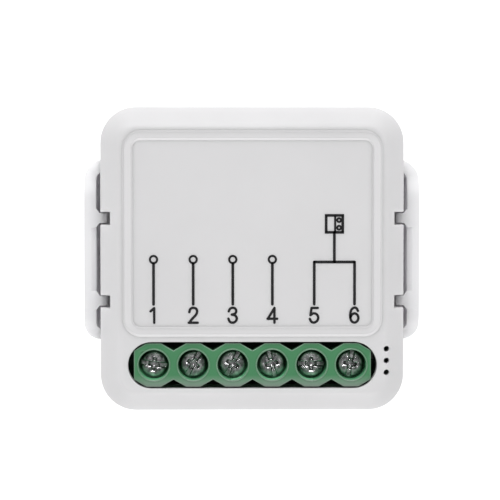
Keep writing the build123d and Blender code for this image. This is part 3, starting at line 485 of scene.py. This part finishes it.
looks = {
    "case_white": whiteCase,
    "case_lining": dict(whiteCase, scatter=0.0, wearRadius=0.01, wear=0.0),
    # The bracket's white is painted a little paler and more lavender than the case's, to match the light on its rounded
    # arms.
    "bracket_white": dict(
        whiteCase, colour=(0.8, 0.796, 0.814), tint=(0.775, 0.771, 0.789), gloss=0.36, scatter=0.9, scatterReach=3.5),
    "terminal_green": dict(greenBlock, wells=wellLook),
    "label_ink": {
        "colour": (0.012, 0.012, 0.013), "tint": (0.02, 0.02, 0.022), "worn": (0.05, 0.05, 0.05),
        "dusty": (0.015, 0.015, 0.015), "grainScale": 5200, "grainDepth": 0.006, "wearRadius": 0.03, "wear": 0.2,
        "dustDepth": 0.1, "dust": 0.1, "gloss": 0.5, "specular": 0.25},
    "button_grey": dict(whiteCase, colour=(0.42, 0.43, 0.44), tint=(0.39, 0.4, 0.41), worn=(0.6, 0.6, 0.61)),
    "switch_black": darkPlastic,
    "chip_black": dict(darkPlastic, colour=(0.028, 0.028, 0.03), gloss=0.55, grainScale=4200),
    "bobbin_black": dict(darkPlastic, gloss=0.38),
    "relay_blue": dict(
        greenBlock, colour=(0.03, 0.13, 0.42), tint=(0.026, 0.11, 0.37), worn=(0.16, 0.3, 0.6),
        dusty=(0.02, 0.05, 0.12)),
    "capacitor_sleeve": dict(darkPlastic, colour=(0.03, 0.055, 0.11), tint=(0.026, 0.045, 0.095), gloss=0.3),
    "varistor_blue": dict(
        greenBlock, colour=(0.055, 0.2, 0.48), tint=(0.045, 0.17, 0.43), gloss=0.28, worn=(0.2, 0.36, 0.62),
        dusty=(0.03, 0.08, 0.16), grainScale=900, grainDepth=0.03),
    "resistor_green": dict(greenBlock, colour=(0.17, 0.3, 0.18), tint=(0.14, 0.26, 0.15), gloss=0.32),
    "passive_tan": dict(
        greenBlock, colour=(0.42, 0.3, 0.17), tint=(0.36, 0.25, 0.13), worn=(0.6, 0.55, 0.5), dusty=(0.1, 0.08, 0.06)),
    "ferrite": dict(
        darkPlastic, colour=(0.05, 0.048, 0.05), tint=(0.038, 0.036, 0.038), gloss=0.62, grainScale=5200,
        grainDepth=0.03),
    "board_green": dict(
        greenBlock, colour=(0.02, 0.15, 0.065), tint=(0.016, 0.125, 0.055), gloss=0.25, worn=(0.45, 0.42, 0.28),
        dusty=(0.012, 0.05, 0.03), grainScale=1500),
    "radio_blue": dict(
        greenBlock, colour=(0.012, 0.045, 0.16), tint=(0.01, 0.036, 0.135), gloss=0.24, worn=(0.45, 0.42, 0.28),
        dusty=(0.008, 0.02, 0.06), grainScale=1500),
    "screw_steel": zincSteel,
    "cage_steel": dict(layeredMetal, tint=(0.48, 0.48, 0.49), gloss=0.34, ridgePlace={"Spacing": 0.00022}),
    "contact_brass": dict(
        layeredMetal, colour=(0.72, 0.52, 0.24), tint=(0.62, 0.43, 0.19), worn=(0.9, 0.74, 0.42),
        dusty=(0.22, 0.15, 0.08), ridgePlace={"Along_X": 1.0, "Along_Z": 0.0, "Spacing": 0.0003}),
    "shield_tin": dict(
        layeredMetal, colour=(0.74, 0.74, 0.72), tint=(0.66, 0.66, 0.64), gloss=0.3,
        ridgePlace={"Along_X": 1.0, "Along_Z": 0.0, "Spacing": 0.0004}),
    "header_pins": dict(
        layeredMetal, colour=(0.72, 0.6, 0.32), tint=(0.62, 0.5, 0.26), gloss=0.28, ridgePlace={"Spacing": 0.0005})}
materials = {name: (metalLook if "ridges" in look else plasticLook)(name, dict(usualLook, **look))
             for name, look in looks.items()}

# The gap colour is painted shade between the turns.
windingCopper = {
    "colour": (0.78, 0.55, 0.12), "tint": (0.7, 0.45, 0.08), "gapShade": (0.2, 0.11, 0.02), "grainScale": 1400,
    "cloudScale": 260, "rough": (0.24, 0.36), "spacing": 0.28, "grainDepth": 0.14, "bump": 0.8}


# Wound copper: golden enamel, a ridge for each turn, and painted shade between the turns.
def windingLook(look):
    material, tree, shader = startMaterial("winding")
    turns = useGroup(tree, layeredTurns, Spacing=look["spacing"] * mm)
    grain, wire = cloudedColour(tree, look)
    feed(tree, shader, {"Base Color": mixColours(tree, turns["Shade"], look["gapShade"], wire),
                        "Roughness": spread(tree, grain["Cloud"], *look["rough"])})
    bumpFrom(tree, shader, look, turns["Height"])
    return material


lensResin = {
    "colour": (0.82, 0.8, 0.7), "tint": (0.74, 0.72, 0.6), "grainScale": 3000, "cloudScale": 500,
    "rough": (0.12, 0.22), "clear": 0.35, "grainDepth": 0.004, "bump": 0.3}


# Light lens: milky clear resin with a warm cloud.
def lensLook(look):
    material, tree, shader = startMaterial("led_lens")
    grain, resin = cloudedColour(tree, look)
    feed(tree, shader, {"Base Color": resin, "Roughness": spread(tree, grain["Cloud"], *look["rough"]),
                        "Transmission Weight": look["clear"]})
    bumpFrom(tree, shader, look, grain["Height"])
    return material


materials["winding"] = windingLook(windingCopper)
materials["led_lens"] = lensLook(lensResin)
print("materials ready:", len(materials))

coverLow, coverHigh = boxOf("front_cover")
frontZ = coverHigh[2]
# An outline is a half width, a bottom, a top and the corners' radius.
label = {
    "outline": (15.5, -8.75, 15.25, 0.9), "grooveWidth": 1.05, "grooveDepth": 0.28, "step": 0.3, "stepPoints": 10,
    "widen": 0.13, "lift": 0.16, "softCorner": 1.15, "inkHeight": 0.014, "panelDrop": 0.016, "liningLift": 0.02,
    "sink": 0.01, "slack": 0.01, "wallSlack": 0.02, "faceSlack": 0.001}
edge = {
    "outline": (coverHigh[0], coverLow[1], coverHigh[1], 4.6), "slope": 2.4, "blend": 1.1, "ribBand": (0.3, 1.5),
    "faceTilt": 0.6, "slack": 0.05}


# Outward direction from a rounded rectangle: from the nearest point of the box that its corner centres span.
def outwardFrom(spots, halfWidth, bottom, top, radius):
    nearest = np.stack([np.clip(spots[:, 0], radius - halfWidth, halfWidth - radius),
                        np.clip(spots[:, 1], bottom + radius, top - radius)], axis=1)
    away = spots[:, :2] - nearest
    distance = np.linalg.norm(away, axis=1)
    return away / np.maximum(distance, 1e-9)[:, None], distance - radius


# The groove's two walls move apart by the widening, which leaves room for the soft steps of its lining.
# A point of a corner goes to the softer corner: its new centre plus the new radius along its own outward direction.
# The groove's top edge is lifted, and the panel goes down by a little more than the ink's height.
# The ribs inside end a hair above the front edge's slope, which is the face's height less the slope's plus the
# distance inwards, so they are let down to it.
def shapeGroove(spots):
    halfWidth, bottom, top, corner = label["outline"]
    outward, distance = outwardFrom(spots, *label["outline"])
    upper = spots[:, 2] > frontZ - label["grooveDepth"] - label["slack"]
    inner = upper & (np.abs(distance) < label["wallSlack"])
    outer = upper & (np.abs(distance - label["grooveWidth"]) < label["wallSlack"])
    panel = (distance < label["wallSlack"]) & (spots[:, 2] > frontZ - label["faceSlack"])
    middle = (top + bottom) / 2
    endX = halfWidth - corner - label["slack"]
    endY = (top - bottom) / 2 - corner - label["slack"]
    for wall, moved in ((inner, -label["widen"]), (outer, label["widen"])):
        x, y = spots[wall, 0], spots[wall, 1] - middle
        ends = (np.abs(x) > endX) & (np.abs(y) > endY)
        softer = (label["softCorner"] - corner) * (outward[wall] - np.stack([np.sign(x), np.sign(y)], axis=1))
        spots[wall, :2] += moved * outward[wall] + np.where(ends[:, None], softer, 0)
        spots[wall & (spots[:, 1] > middle), 1] += label["lift"]
    spots[panel, 2] -= label["panelDrop"]
    inwards = -outwardFrom(spots, *edge["outline"])[1]
    slopeHeight = frontZ - edge["slope"] + inwards
    near, far = edge["ribBand"]
    proud = (inwards > near) & (inwards < far) & (spots[:, 2] > slopeHeight)
    spots[proud, 2] = slopeHeight[proud]
    return spots


# True normals of the cover's front: level on the face, half a right angle on the slope, and between them the blend,
# where the sine of the tilt falls evenly with the distance inwards from the case's outline.
def frontNormals(mesh):
    spots = meshSpots(mesh)
    outward, distance = outwardFrom(spots, *edge["outline"])
    reach = edge["blend"] * math.tan(math.pi / 8)
    blendEnd = edge["slope"] + reach
    tilt = np.clip((distance + blendEnd) / (2 * reach), 0, 1) * math.sin(math.pi / 4)
    true = np.column_stack([outward * tilt[:, None], np.sqrt(1 - tilt ** 2)])
    true[distance < label["slack"] - blendEnd] = (0, 0, 1)
    corners = np.empty(len(mesh.loops), dtype=int)
    mesh.loops.foreach_get("vertex_index", corners)
    normals = np.zeros((len(corners), 3))
    for face in mesh.polygons:
        loops = slice(face.loop_start, face.loop_start + face.loop_total)
        held = corners[loops]
        if face.normal.z > edge["faceTilt"] and spots[held, 2].min() > frontZ - edge["slope"] - edge["slack"]:
            normals[loops] = true[held]
    return normals


dressNode("front_cover", "_moulding", "case_white", raiseRule=shapeGroove, normalRule=frontNormals)


# Points and outward normals along a rounded rectangle; each corner is a quarter turn of its radius.
def roundedPath(halfWidth, bottom, top, radius, cornerSteps=14):
    angle = np.concatenate([np.linspace(0, np.pi / 2, cornerSteps) + start for start in np.arange(4) * np.pi / 2])
    centreX = np.repeat([1, -1, -1, 1], cornerSteps) * (halfWidth - radius)
    centreY = np.repeat([top - radius, top - radius, bottom + radius, bottom + radius], cornerSteps)
    outward = np.stack([np.cos(angle), np.sin(angle)], axis=1)
    return np.stack([centreX, centreY], axis=1) + radius * outward, outward


# Groove lining: a profile with two soft steps and a flat floor between them, carried along the label's edge.
# Each step is a smooth S, so its height is floor + depth * (3t^2 - 2t^3); its underside lies on the groove.
def makeGrooveLining():
    halfWidth, bottom, top, _ = label["outline"]
    path, outward = roundedPath(halfWidth, bottom, top + label["lift"], label["softCorner"])
    start, end, step = -label["widen"], label["grooveWidth"] + label["widen"], label["step"]
    across = np.concatenate([np.linspace(start, start + step, label["stepPoints"]),
                             np.linspace(end - step, end, label["stepPoints"])])
    inner = smoothStep(1 - (across - start) / step)
    outer = smoothStep(1 - (end - across) / step)
    floor = frontZ - label["grooveDepth"] + label["liningLift"]
    height = floor + (frontZ - floor - label["faceSlack"]) * (inner + outer)
    height -= label["panelDrop"] * np.clip(1 - (across - start) / step, 0, 1)
    lateral = np.concatenate([across, across[::-1]])
    grid = np.empty((len(lateral), len(path), 3))
    grid[..., :2] = path[None] + lateral[:, None, None] * outward[None]
    grid[..., 2] = np.concatenate([height, np.full(len(across), floor - label["sink"])])[:, None]
    makePiece("label_groove_lining", [(grid.reshape(-1, 3), gridFaces(len(lateral), len(path), closeRows=True))],
              "case_lining", angle=50)


makeGrooveLining()

panelZ = frontZ - label["panelDrop"]
diagram = {
    "line": 0.36, "ring": (0.6, 0.28), "leadTop": -0.5, "leadEnd": -5.75, "forkX": (7.92, 13.1), "forkY": -0.33,
    "stemX": 10.5, "stemTop": 3.48, "socket": (9.44, 11.57, 3.48, 5.65), "socketLine": 0.35, "dividerX": 10.6,
    "dividerShare": 0.8, "pinRing": (0.37, 0.27), "pins": ((11.1, 5.05), (11.1, 4.07)), "digitTop": -6.04,
    "digitHeight": 2.24, "digitLine": 0.32, "digitMiddle": 0.32, "layer": 0.001, "capSteps": 9, "ringColumns": 40}
# Strokes of each digit in hundredths of its height: more than three points make a curve, fewer straight lines.
digitCurves = {
    "1": [[(12, 77), (36, 98), (36, 0)]],
    "2": [[(6, 71), (13, 92), (33, 100), (53, 92), (58, 72), (48, 50), (26, 27), (6, 2)], [(2, 0), (62, 0)]],
    "3": [[(5, 76), (14, 93), (31, 100), (49, 93), (55, 76), (46, 60), (25, 54)], [(25, 54), (48, 48), (59, 28),
          (50, 8), (31, 0), (12, 7), (3, 27)]],
    "4": [[(46, 0), (46, 98)], [(46, 98), (3, 28)], [(0, 26), (64, 26)]],
    "5": [[(56, 98), (14, 98)], [(14, 98), (7, 50)], [(7, 50), (28, 62), (50, 54), (59, 33), (50, 10), (29, 0),
          (12, 7), (3, 25)]],
    "6": [[(55, 78), (47, 94), (32, 100), (13, 88), (5, 64), (4, 36), (13, 9), (32, 0), (51, 10), (58, 32), (50, 53),
          (32, 61), (14, 52), (6, 36)]]}


# A smooth curve through given points: between two of them the place is the cubic of the four around it.
def smoothPath(points, steps=8):
    padded = np.concatenate([[2 * points[0] - points[1]], points, [2 * points[-1] - points[-2]]])
    t = (np.arange(steps) / steps)[None, :, None]
    a, b, c, d = (padded[start:len(points) - 1 + start, None] for start in range(4))
    curve = 0.5 * (2 * b + (c - a) * t + (2 * a - 5 * b + 4 * c - d) * t ** 2 + (3 * b - a - 3 * c + d) * t ** 3)
    return np.concatenate([curve.reshape(-1, 2), points[-1:]])


# A printed stroke: the path moved half a width to each side, with a half round at each end, given the ink's height.
def inkStroke(points, width, roundEnds=True, lift=0.0):
    path = np.asarray(points, dtype=float)
    ahead = np.gradient(path, axis=0)
    ahead /= np.linalg.norm(ahead, axis=1)[:, None]
    side = np.stack([-ahead[:, 1], ahead[:, 0]], axis=1)
    sweep = np.linspace(0, np.pi, diagram["capSteps"])[1:-1] if roundEnds else np.empty(0)

    def cap(centre, across, along):
        return centre + width / 2 * (np.cos(sweep)[:, None] * across + np.sin(sweep)[:, None] * along)
    outline = np.concatenate([path + side * width / 2, cap(path[-1], side[-1], ahead[-1]),
                              (path - side * width / 2)[::-1], cap(path[0], -side[0], -ahead[0])])
    count = len(outline)
    levels = (panelZ - label["sink"], panelZ + label["inkHeight"] - lift)
    grid = np.concatenate([np.column_stack([outline, np.full(count, level)]) for level in levels])
    ends = [list(range(count))[::-1], list(range(count, 2 * count))]
    return grid, ends + gridFaces(2, count).tolist()


# A printed ring: a flat band of the given outer radius and line width.
def inkRing(x, y, outer, line):
    low, top = panelZ - label["sink"], panelZ + label["inkHeight"]
    return revolveLoop([(outer, low), (outer, top), (outer - line, top), (outer - line, low)], x, y,
                       columns=diagram["ringColumns"])


# A digit is drawn with single strokes inside a box of the given height and put at its pole's centre.
# Each stroke ends a layer lower than the one before, so that no two tops lie level where they cross.
def inkDigit(digit, x):
    scale = diagram["digitHeight"] - diagram["digitLine"]
    corner = [x - diagram["digitMiddle"] * scale,
              diagram["digitTop"] - diagram["digitHeight"] + diagram["digitLine"] / 2]
    shapes = []
    for points in digitCurves[digit]:
        curved = len(points) > 3
        place = np.array(points) / 100
        place = (smoothPath(place) if curved else place) * scale + corner
        segments = [place] if curved else [place[i:i + 2] for i in range(len(place) - 1)]
        shapes += [inkStroke(segment, diagram["digitLine"], lift=diagram["layer"] * (len(shapes) + order))
                   for order, segment in enumerate(segments)]
    return shapes


# Wiring diagram: four rings with leads, a fork with two leads and a stem, the socket's box with its divider and two
# pin rings, and a digit under each lead.
def makePrint():
    line, leadEnd, forkY, stemX = (diagram[part] for part in ("line", "leadEnd", "forkY", "stemX"))
    forkX = list(diagram["forkX"])
    shapes = []
    for x in screwX[:4]:
        shapes += [inkRing(x, 0.0, *diagram["ring"]), inkStroke([(x, diagram["leadTop"]), (x, leadEnd)], line)]
    shapes.append(inkStroke([(x, forkY) for x in forkX], line))
    shapes += [inkStroke([(x, forkY), (x, leadEnd)], line) for x in forkX]
    shapes.append(inkStroke([(stemX, diagram["stemTop"]), (stemX, forkY)], line))
    x0, x1, y0, y1 = diagram["socket"]
    thin, divider = diagram["socketLine"], diagram["dividerX"]
    shapes += [inkStroke([(x0 - thin / 2, y), (x1 + thin / 2, y)], thin, False) for y in (y0, y1)]
    shapes += [inkStroke([(x, y0), (x, y1)], thin, False) for x in (x0, x1)]
    shapes.append(inkStroke([(divider, y0), (divider, y1)], thin * diagram["dividerShare"], False))
    shapes += [inkRing(x, y, *diagram["pinRing"]) for x, y in diagram["pins"]]
    for digit, x in zip(digitCurves, screwX[:4] + forkX):
        shapes += inkDigit(digit, x)
    makePiece("label_printing", shapes, "label_ink", angle=30)


makePrint()
print("front cover dressed and printed")

dressNode("mounting_bracket", "_moulding", "bracket_white", softEdge=0.12)
dressNode("rear_cover", "_moulding", "case_white")
dressNode("pairing_button", "_cap", "button_grey", "pairing_button", softEdge=0.08)
dressNode("terminal_housing", "_moulding", "terminal_green")

well = {"radius": 1.95, "beadWidth": 0.22, "beadHeight": 0.09, "sink": 0.02, "arcSteps": 9, "columns": 72}


# Well bead: a half round of the bead's width and height, turned about each well's axis.
def makeWellBeads():
    sweep = np.linspace(0, np.pi, well["arcSteps"])
    radius = well["radius"] + well["beadWidth"] / 2 * (1 - np.cos(sweep))
    height = towerZ - well["sink"] + (well["beadHeight"] + well["sink"]) * np.sin(sweep)
    profile = np.column_stack([radius, height])
    beads = [revolveLoop(profile, x, rowY, well["columns"]) for x in screwX]
    makePiece("terminal_well_beads", beads, "terminal_green", angle=60)


makeWellBeads()

screw = {
    "headRadius": 1.8, "domeRadius": 1.5, "domeHeight": 0.2, "edgeDrop": 0.62, "headThickness": 1.4, "slotHalf": 0.26,
    "slotDepth": 0.52, "slotFlare": 0.08, "slotFall": 0.18, "crossReach": 0.86, "crossHalf": 0.25, "crossDepth": 0.85,
    "armTaper": 0.35, "armRise": 0.45, "lipWidth": 0.2, "lipDrop": 0.075, "bowlRadius": 0.46, "bowlDepth": 0.12,
    "bowlLift": 0.2, "wallSoftness": 0.06, "domeRings": (0.03, 1.5, 42), "edgeStart": 1.52, "edgeRings": 10,
    "columns": 240, "rimRound": 0.06, "shankRadius": 1.25, "threadDepth": 0.13, "threadPitch": 0.45, "threadSteps": 9,
    "threadFade": 0.5, "threadGap": 0.02, "tipChamfer": 0.3, "tipTaper": 0.35, "tipInset": 0.4,
    "turns": (-8, 60, 62, 105, 0, 80)}


# Screw head's top as a height over radius and turn. The dome is a shallow square law, its edge slopes down to the rim.
# Round the slot and the cross a narrow lip falls evenly towards them.
# The slot is a level floor between soft walls that part a little towards the rim. The cross has blunt arms with a
# floor that rises near their ends, and their middle is a shallow bowl with a round edge.
def headHeight(radius, turn, slotTurn, top):
    share = (radius / screw["headRadius"]) ** 2
    fall = smoothStep((radius - screw["domeRadius"]) / (screw["headRadius"] - screw["domeRadius"]))
    surface = -screw["domeHeight"] * (radius / screw["domeRadius"]) ** 2 - (
        screw["edgeDrop"] - screw["domeHeight"]) * fall
    along = radius * np.cos(turn - slotTurn)
    across = radius * np.sin(turn - slotTurn)
    arms = ((np.abs(along), across), (np.abs(across), along))
    soft = screw["wallSoftness"]
    slotHalf = screw["slotHalf"] + screw["slotFlare"] * share
    outside = np.abs(across) - slotHalf
    for reach, off in arms:
        outside = np.minimum(outside, np.maximum(np.abs(off) - screw["crossHalf"], reach - screw["crossReach"]))
    surface = surface - screw["lipDrop"] * np.clip(1 - outside / screw["lipWidth"], 0, 1)
    inSlot = smoothStep((slotHalf + soft - np.abs(across)) / (2 * soft))
    slotFloor = -screw["slotDepth"] - screw["slotFall"] * share
    surface = surface + inSlot * np.minimum(0, slotFloor - surface)
    for reach, off in arms:
        part = np.clip(reach / screw["crossReach"], 0, 1)
        half = screw["crossHalf"] * (1 - screw["armTaper"] * part ** 2)
        pit = -screw["crossDepth"] * (1 - screw["armRise"] * part ** 3)
        inArm = (smoothStep((half + soft - np.abs(off)) / (2 * soft))
                 * smoothStep((screw["crossReach"] + soft - reach) / (2 * soft)))
        surface = surface + inArm * np.minimum(0, pit - surface)
    bowl = screw["bowlDepth"] * np.clip(1 - (radius / screw["bowlRadius"]) ** 2, 0, 1)
    inBowl = smoothStep((screw["bowlRadius"] + soft - radius) / (2 * soft))
    return top + surface + inBowl * (screw["bowlLift"] - screw["crossDepth"] - bowl - surface)


# A screw: one grid of rings from the head's centre out over the rim, under the head, down the thread and to the tip.
# On the shank the radius falls and rises once per pitch, with a start that turns with the angle, which is a helix.
def makeScrew(number, x, slotDegrees):
    name = "terminal_screw_%d" % number
    bottom, top = (corner[2] for corner in boxOf(name))
    columns, rim, headRadius, shankRadius = (
        screw[part] for part in ("columns", "rimRound", "headRadius", "shankRadius"))
    turn = np.arange(columns) * 2 * np.pi / columns
    topRadius = np.concatenate([np.linspace(*screw["domeRings"]),
                                np.linspace(screw["edgeStart"], headRadius, screw["edgeRings"])])
    topHeight = headHeight(topRadius[:, None], turn[None], math.radians(slotDegrees), top)
    topHeight[-1] = np.minimum(topHeight[-1], top - screw["edgeDrop"])
    underZ = top - screw["headThickness"]
    threadZ = np.arange(underZ - screw["threadGap"], bottom + screw["threadGap"],
                        -screw["threadPitch"] / screw["threadSteps"])
    phase = threadZ[:, None] / screw["threadPitch"] - turn[None] / (2 * np.pi)
    wave = np.abs((phase % 1) * 2 - 1)
    fade = np.clip((underZ - threadZ) / screw["threadFade"], 0, 1)[:, None]
    taper = np.clip((threadZ - bottom) / screw["tipChamfer"], 0, 1)[:, None]
    threadRadius = shankRadius - screw["threadDepth"] * wave * fade - screw["tipTaper"] * (1 - taper)
    rings = [(topRadius, topHeight), ([headRadius, headRadius - rim, shankRadius], [underZ + rim, underZ, underZ]),
             (threadRadius, threadZ), ([shankRadius - screw["tipInset"]], [bottom])]
    grid = np.concatenate([ringGrid(radius, height, columns) for radius, height in rings])
    centreZ = headHeight(np.array([0.0]), np.array([0.0]), 0.0, top)[0]
    points, faces = poledSolid(grid, [[0, 0, centreZ], [0, 0, bottom]])
    piece = makePiece(name + "_detailed", [(points + [x, rowY, 0], faces)], "screw_steel", angle=40, body=name)
    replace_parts(piece, name)


for number, x, degrees in zip(poleNumbers, screwX, screw["turns"]):
    makeScrew(number, x, degrees)
print("terminal block and screws ready")

innerParts = {
    "main_board": "board_green", "tact_switch_body": "switch_black", "relay": "relay_blue",
    "transformer_core": "ferrite", "transformer_bobbin": "bobbin_black", "transformer_winding": "winding",
    "filter_capacitor": "capacitor_sleeve", "output_capacitor": "capacitor_sleeve", "choke": "ferrite",
    "bridge_rectifier": "chip_black", "control_chip": "chip_black", "optocoupler": "chip_black",
    "small_passives": "passive_tan", "status_led": "led_lens", "radio_board": "radio_blue",
    "radio_shield": "shield_tin", "radio_header": "header_pins"}
for nodeName, look in innerParts.items():
    dressNode(nodeName, "_finished", look)
dressNode("tact_switch_stem", "_finished", "switch_black", "pairing_button")
for number in poleNumbers:
    cage = "clamp_cage_%d" % number
    dressNode(cage, "_finished", "cage_steel", cage)
    dressNode("contact_bar_%d" % number, "_finished", "contact_brass")

varistorShape = {
    "leadSpacing": 5.0, "leadSize": 0.6, "leadReach": 1.0, "edge": 1.3, "fullness": 0.65, "rimSteps": 27,
    "faceSteps": 6, "columns": 72}


# Varistor: a dipped disc whose outline is a rounded power curve, flat in the middle and full at its rim.
def makeVaristor():
    low, high = boxOf("varistor")
    middle = (low + high) / 2
    radius, half = (high[1] - low[1]) / 2, (high[0] - low[0]) / 2
    sweep = np.linspace(-np.pi / 2, np.pi / 2, varistorShape["rimSteps"])
    rim, power = varistorShape["edge"], varistorShape["fullness"]
    along = half * np.sign(np.sin(sweep)) * np.abs(np.sin(sweep)) ** power
    out = radius - rim + rim * np.abs(np.cos(sweep)) ** power
    face = np.linspace(0, radius - rim, varistorShape["faceSteps"], endpoint=False)
    level = np.full_like(face, half)
    profile = np.concatenate([np.column_stack([face, -level]), np.column_stack([out, along]),
                              np.column_stack([face[::-1], level])])
    shapes = [revolveSolid(profile, (middle[0], middle[1], high[2] - radius), "x", varistorShape["columns"])]
    size = varistorShape["leadSize"] / 2
    leadTop = high[2] - radius - varistorShape["leadReach"]
    for side in (-1, 1):
        y = middle[1] + side * varistorShape["leadSpacing"] / 2
        shapes.append(barShape((middle[0] - size, y - size, low[2]), (middle[0] + size, y + size, leadTop)))
    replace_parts(makePiece("varistor_dipped", shapes, "varistor_blue", angle=40), "varistor")


fuseShape = {
    "leadSize": 0.6, "lift": 0.6, "length": 6.0, "waist": 0.16, "capShare": 0.24, "easeShare": 0.08, "edge": 0.35,
    "rings": 33}


# Fuse resistor: its radius is full over the two end caps and eases to a waist between them, with round ends.
# Its lead goes down from its lower end, and the other one over its top and down beside it.
def makeFuseResistor():
    low, high = boxOf("fuse_resistor")
    radius = (high[0] - low[0]) / 2
    x, y = (high[0] + low[0]) / 2, low[1] + radius
    length, rim = fuseShape["length"], fuseShape["edge"]
    base = boxOf("main_board")[1][2] + fuseShape["lift"]
    height = np.linspace(0, length, fuseShape["rings"])
    ends = np.minimum(height, length - height)
    waist = fuseShape["waist"] * smoothStep((ends / length - fuseShape["capShare"]) / fuseShape["easeShare"])
    shy = rim * np.clip(1 - ends / rim, 0, 1)
    rounded = rim - np.sqrt(np.maximum(rim ** 2 - shy ** 2, 0))
    profile = np.concatenate([[[0, 0]], np.column_stack([radius - waist - rounded, height]), [[0, length]]])
    size = fuseShape["leadSize"] / 2
    farY = high[1] - size
    top, under = base + length, high[2] - 2 * size
    shapes = [revolveSolid(profile, (x, y, base)),
              barShape((x - size, y - size, low[2]), (x + size, y + size, base + size)),
              barShape((x - size, y - size, top - size), (x + size, y + size, high[2])),
              barShape((x - size, y + size, under), (x + size, farY + size, high[2])),
              barShape((x - size, farY - size, low[2]), (x + size, farY + size, under))]
    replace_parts(makePiece("fuse_resistor_banded", shapes, "resistor_green", angle=40), "fuse_resistor")


makeVaristor()
makeFuseResistor()
print("inner parts finished")

studio = {
    "floorHalf": 0.9, "floorZ": -0.02, "floorPoints": 5, "floorGlow": 0.46, "world": 0.385, "lightsAt": (0, 0, 0.015)}
paper = {
    "colour": (0.93, 0.93, 0.935), "tint": (0.91, 0.91, 0.915), "grainScale": 1800, "cloudScale": 6,
    "rough": (0.75, 0.85)}


# The floor is a flat grid under the bracket that runs far past the view, of paper that glows a little.
def makeFloor():
    count = studio["floorPoints"]
    line = np.linspace(-studio["floorHalf"], studio["floorHalf"], count)
    x, y = np.meshgrid(line, line, indexing="ij")
    points = np.stack([x, y, np.full_like(x, studio["floorZ"] * mm)], axis=-1).reshape(-1, 3)
    mesh = bpy.data.meshes.new("studio_floor")
    mesh.from_pydata(points.tolist(), [], gridFaces(count, count, False, False)[:, ::-1].tolist())
    material, tree, shader = startMaterial("floor_paper")
    grain, colour = cloudedColour(tree, paper)
    feed(tree, shader, {"Base Color": colour, "Roughness": spread(tree, grain["Height"], *paper["rough"]),
                        "Emission Color": (1.0, 1.0, 1.0), "Emission Strength": studio["floorGlow"]})
    mesh.materials.append(material)
    addObject("studio_floor", mesh)


# A soft light at a place, in metres, turned towards the object.
def areaLight(name, place, size, power):
    data = bpy.data.lights.new(name, "AREA")
    data.shape = "RECTANGLE"
    data.size, data.size_y = size
    data.energy = power
    lamp = addObject(name, data)
    lamp.location = place
    lamp.rotation_euler = (Vector(place) - Vector(studio["lightsAt"])).to_track_quat("Z", "Y").to_euler()


makeFloor()
lightRig = {
    "top_softbox": ((-0.05, 0.55, 0.4), (0.6, 0.35), 2.25),
    "high_softbox": ((0.0, 0.36, 0.62), (0.14, 0.08), 0.85),
    "front_softbox": ((0.02, 0.05, 0.75), (0.05, 0.05), 0.03),
    "left_softbox": ((-0.6, 0.05, 0.3), (0.35, 0.45), 0.04),
    "right_softbox": ((0.6, 0.0, 0.3), (0.35, 0.45), 0.03),
    "low_softbox": ((0.0, -0.6, 0.3), (0.5, 0.35), 1.85)}
for name, (place, size, power) in lightRig.items():
    areaLight(name, place, size, power)

world = bpy.data.worlds.new("studio_air")
world.use_nodes = True
air = world.node_tree.nodes["Background"]
feed(world.node_tree, air, {"Color": (1.0, 1.0, 1.0), "Strength": studio["world"]})
bpy.context.scene.world = world
bpy.context.scene.view_settings.view_transform = "Standard"

view = {
    "target": (-0.33, 1.22, 20.0), "towards": (-0.02, 0.04, 1.0), "distance": 280.0, "lens": 157.2, "sensor": 36.0,
    "clip": (0.01, 10.0)}


# The camera stands off its target along a direction. Its axes are that direction, the object's up turned square to
# it, and their cross.
def makeCamera():
    back = Vector(view["towards"]).normalized()
    right = Vector((0, 1, 0)).cross(back).normalized()
    data = bpy.data.cameras.new("photo_camera")
    data.lens = view["lens"]
    data.sensor_width = view["sensor"]
    data.clip_start, data.clip_end = view["clip"]
    data.dof.use_dof = False
    camera = addObject("photo_camera", data)
    axes = Matrix((right, back.cross(right), back)).transposed().to_4x4()
    target = Vector(view["target"]) * mm
    camera.matrix_world = Matrix.Translation(target + back * view["distance"] * mm) @ axes
    bpy.context.scene.camera = camera


makeCamera()
bpy.context.view_layer.update()
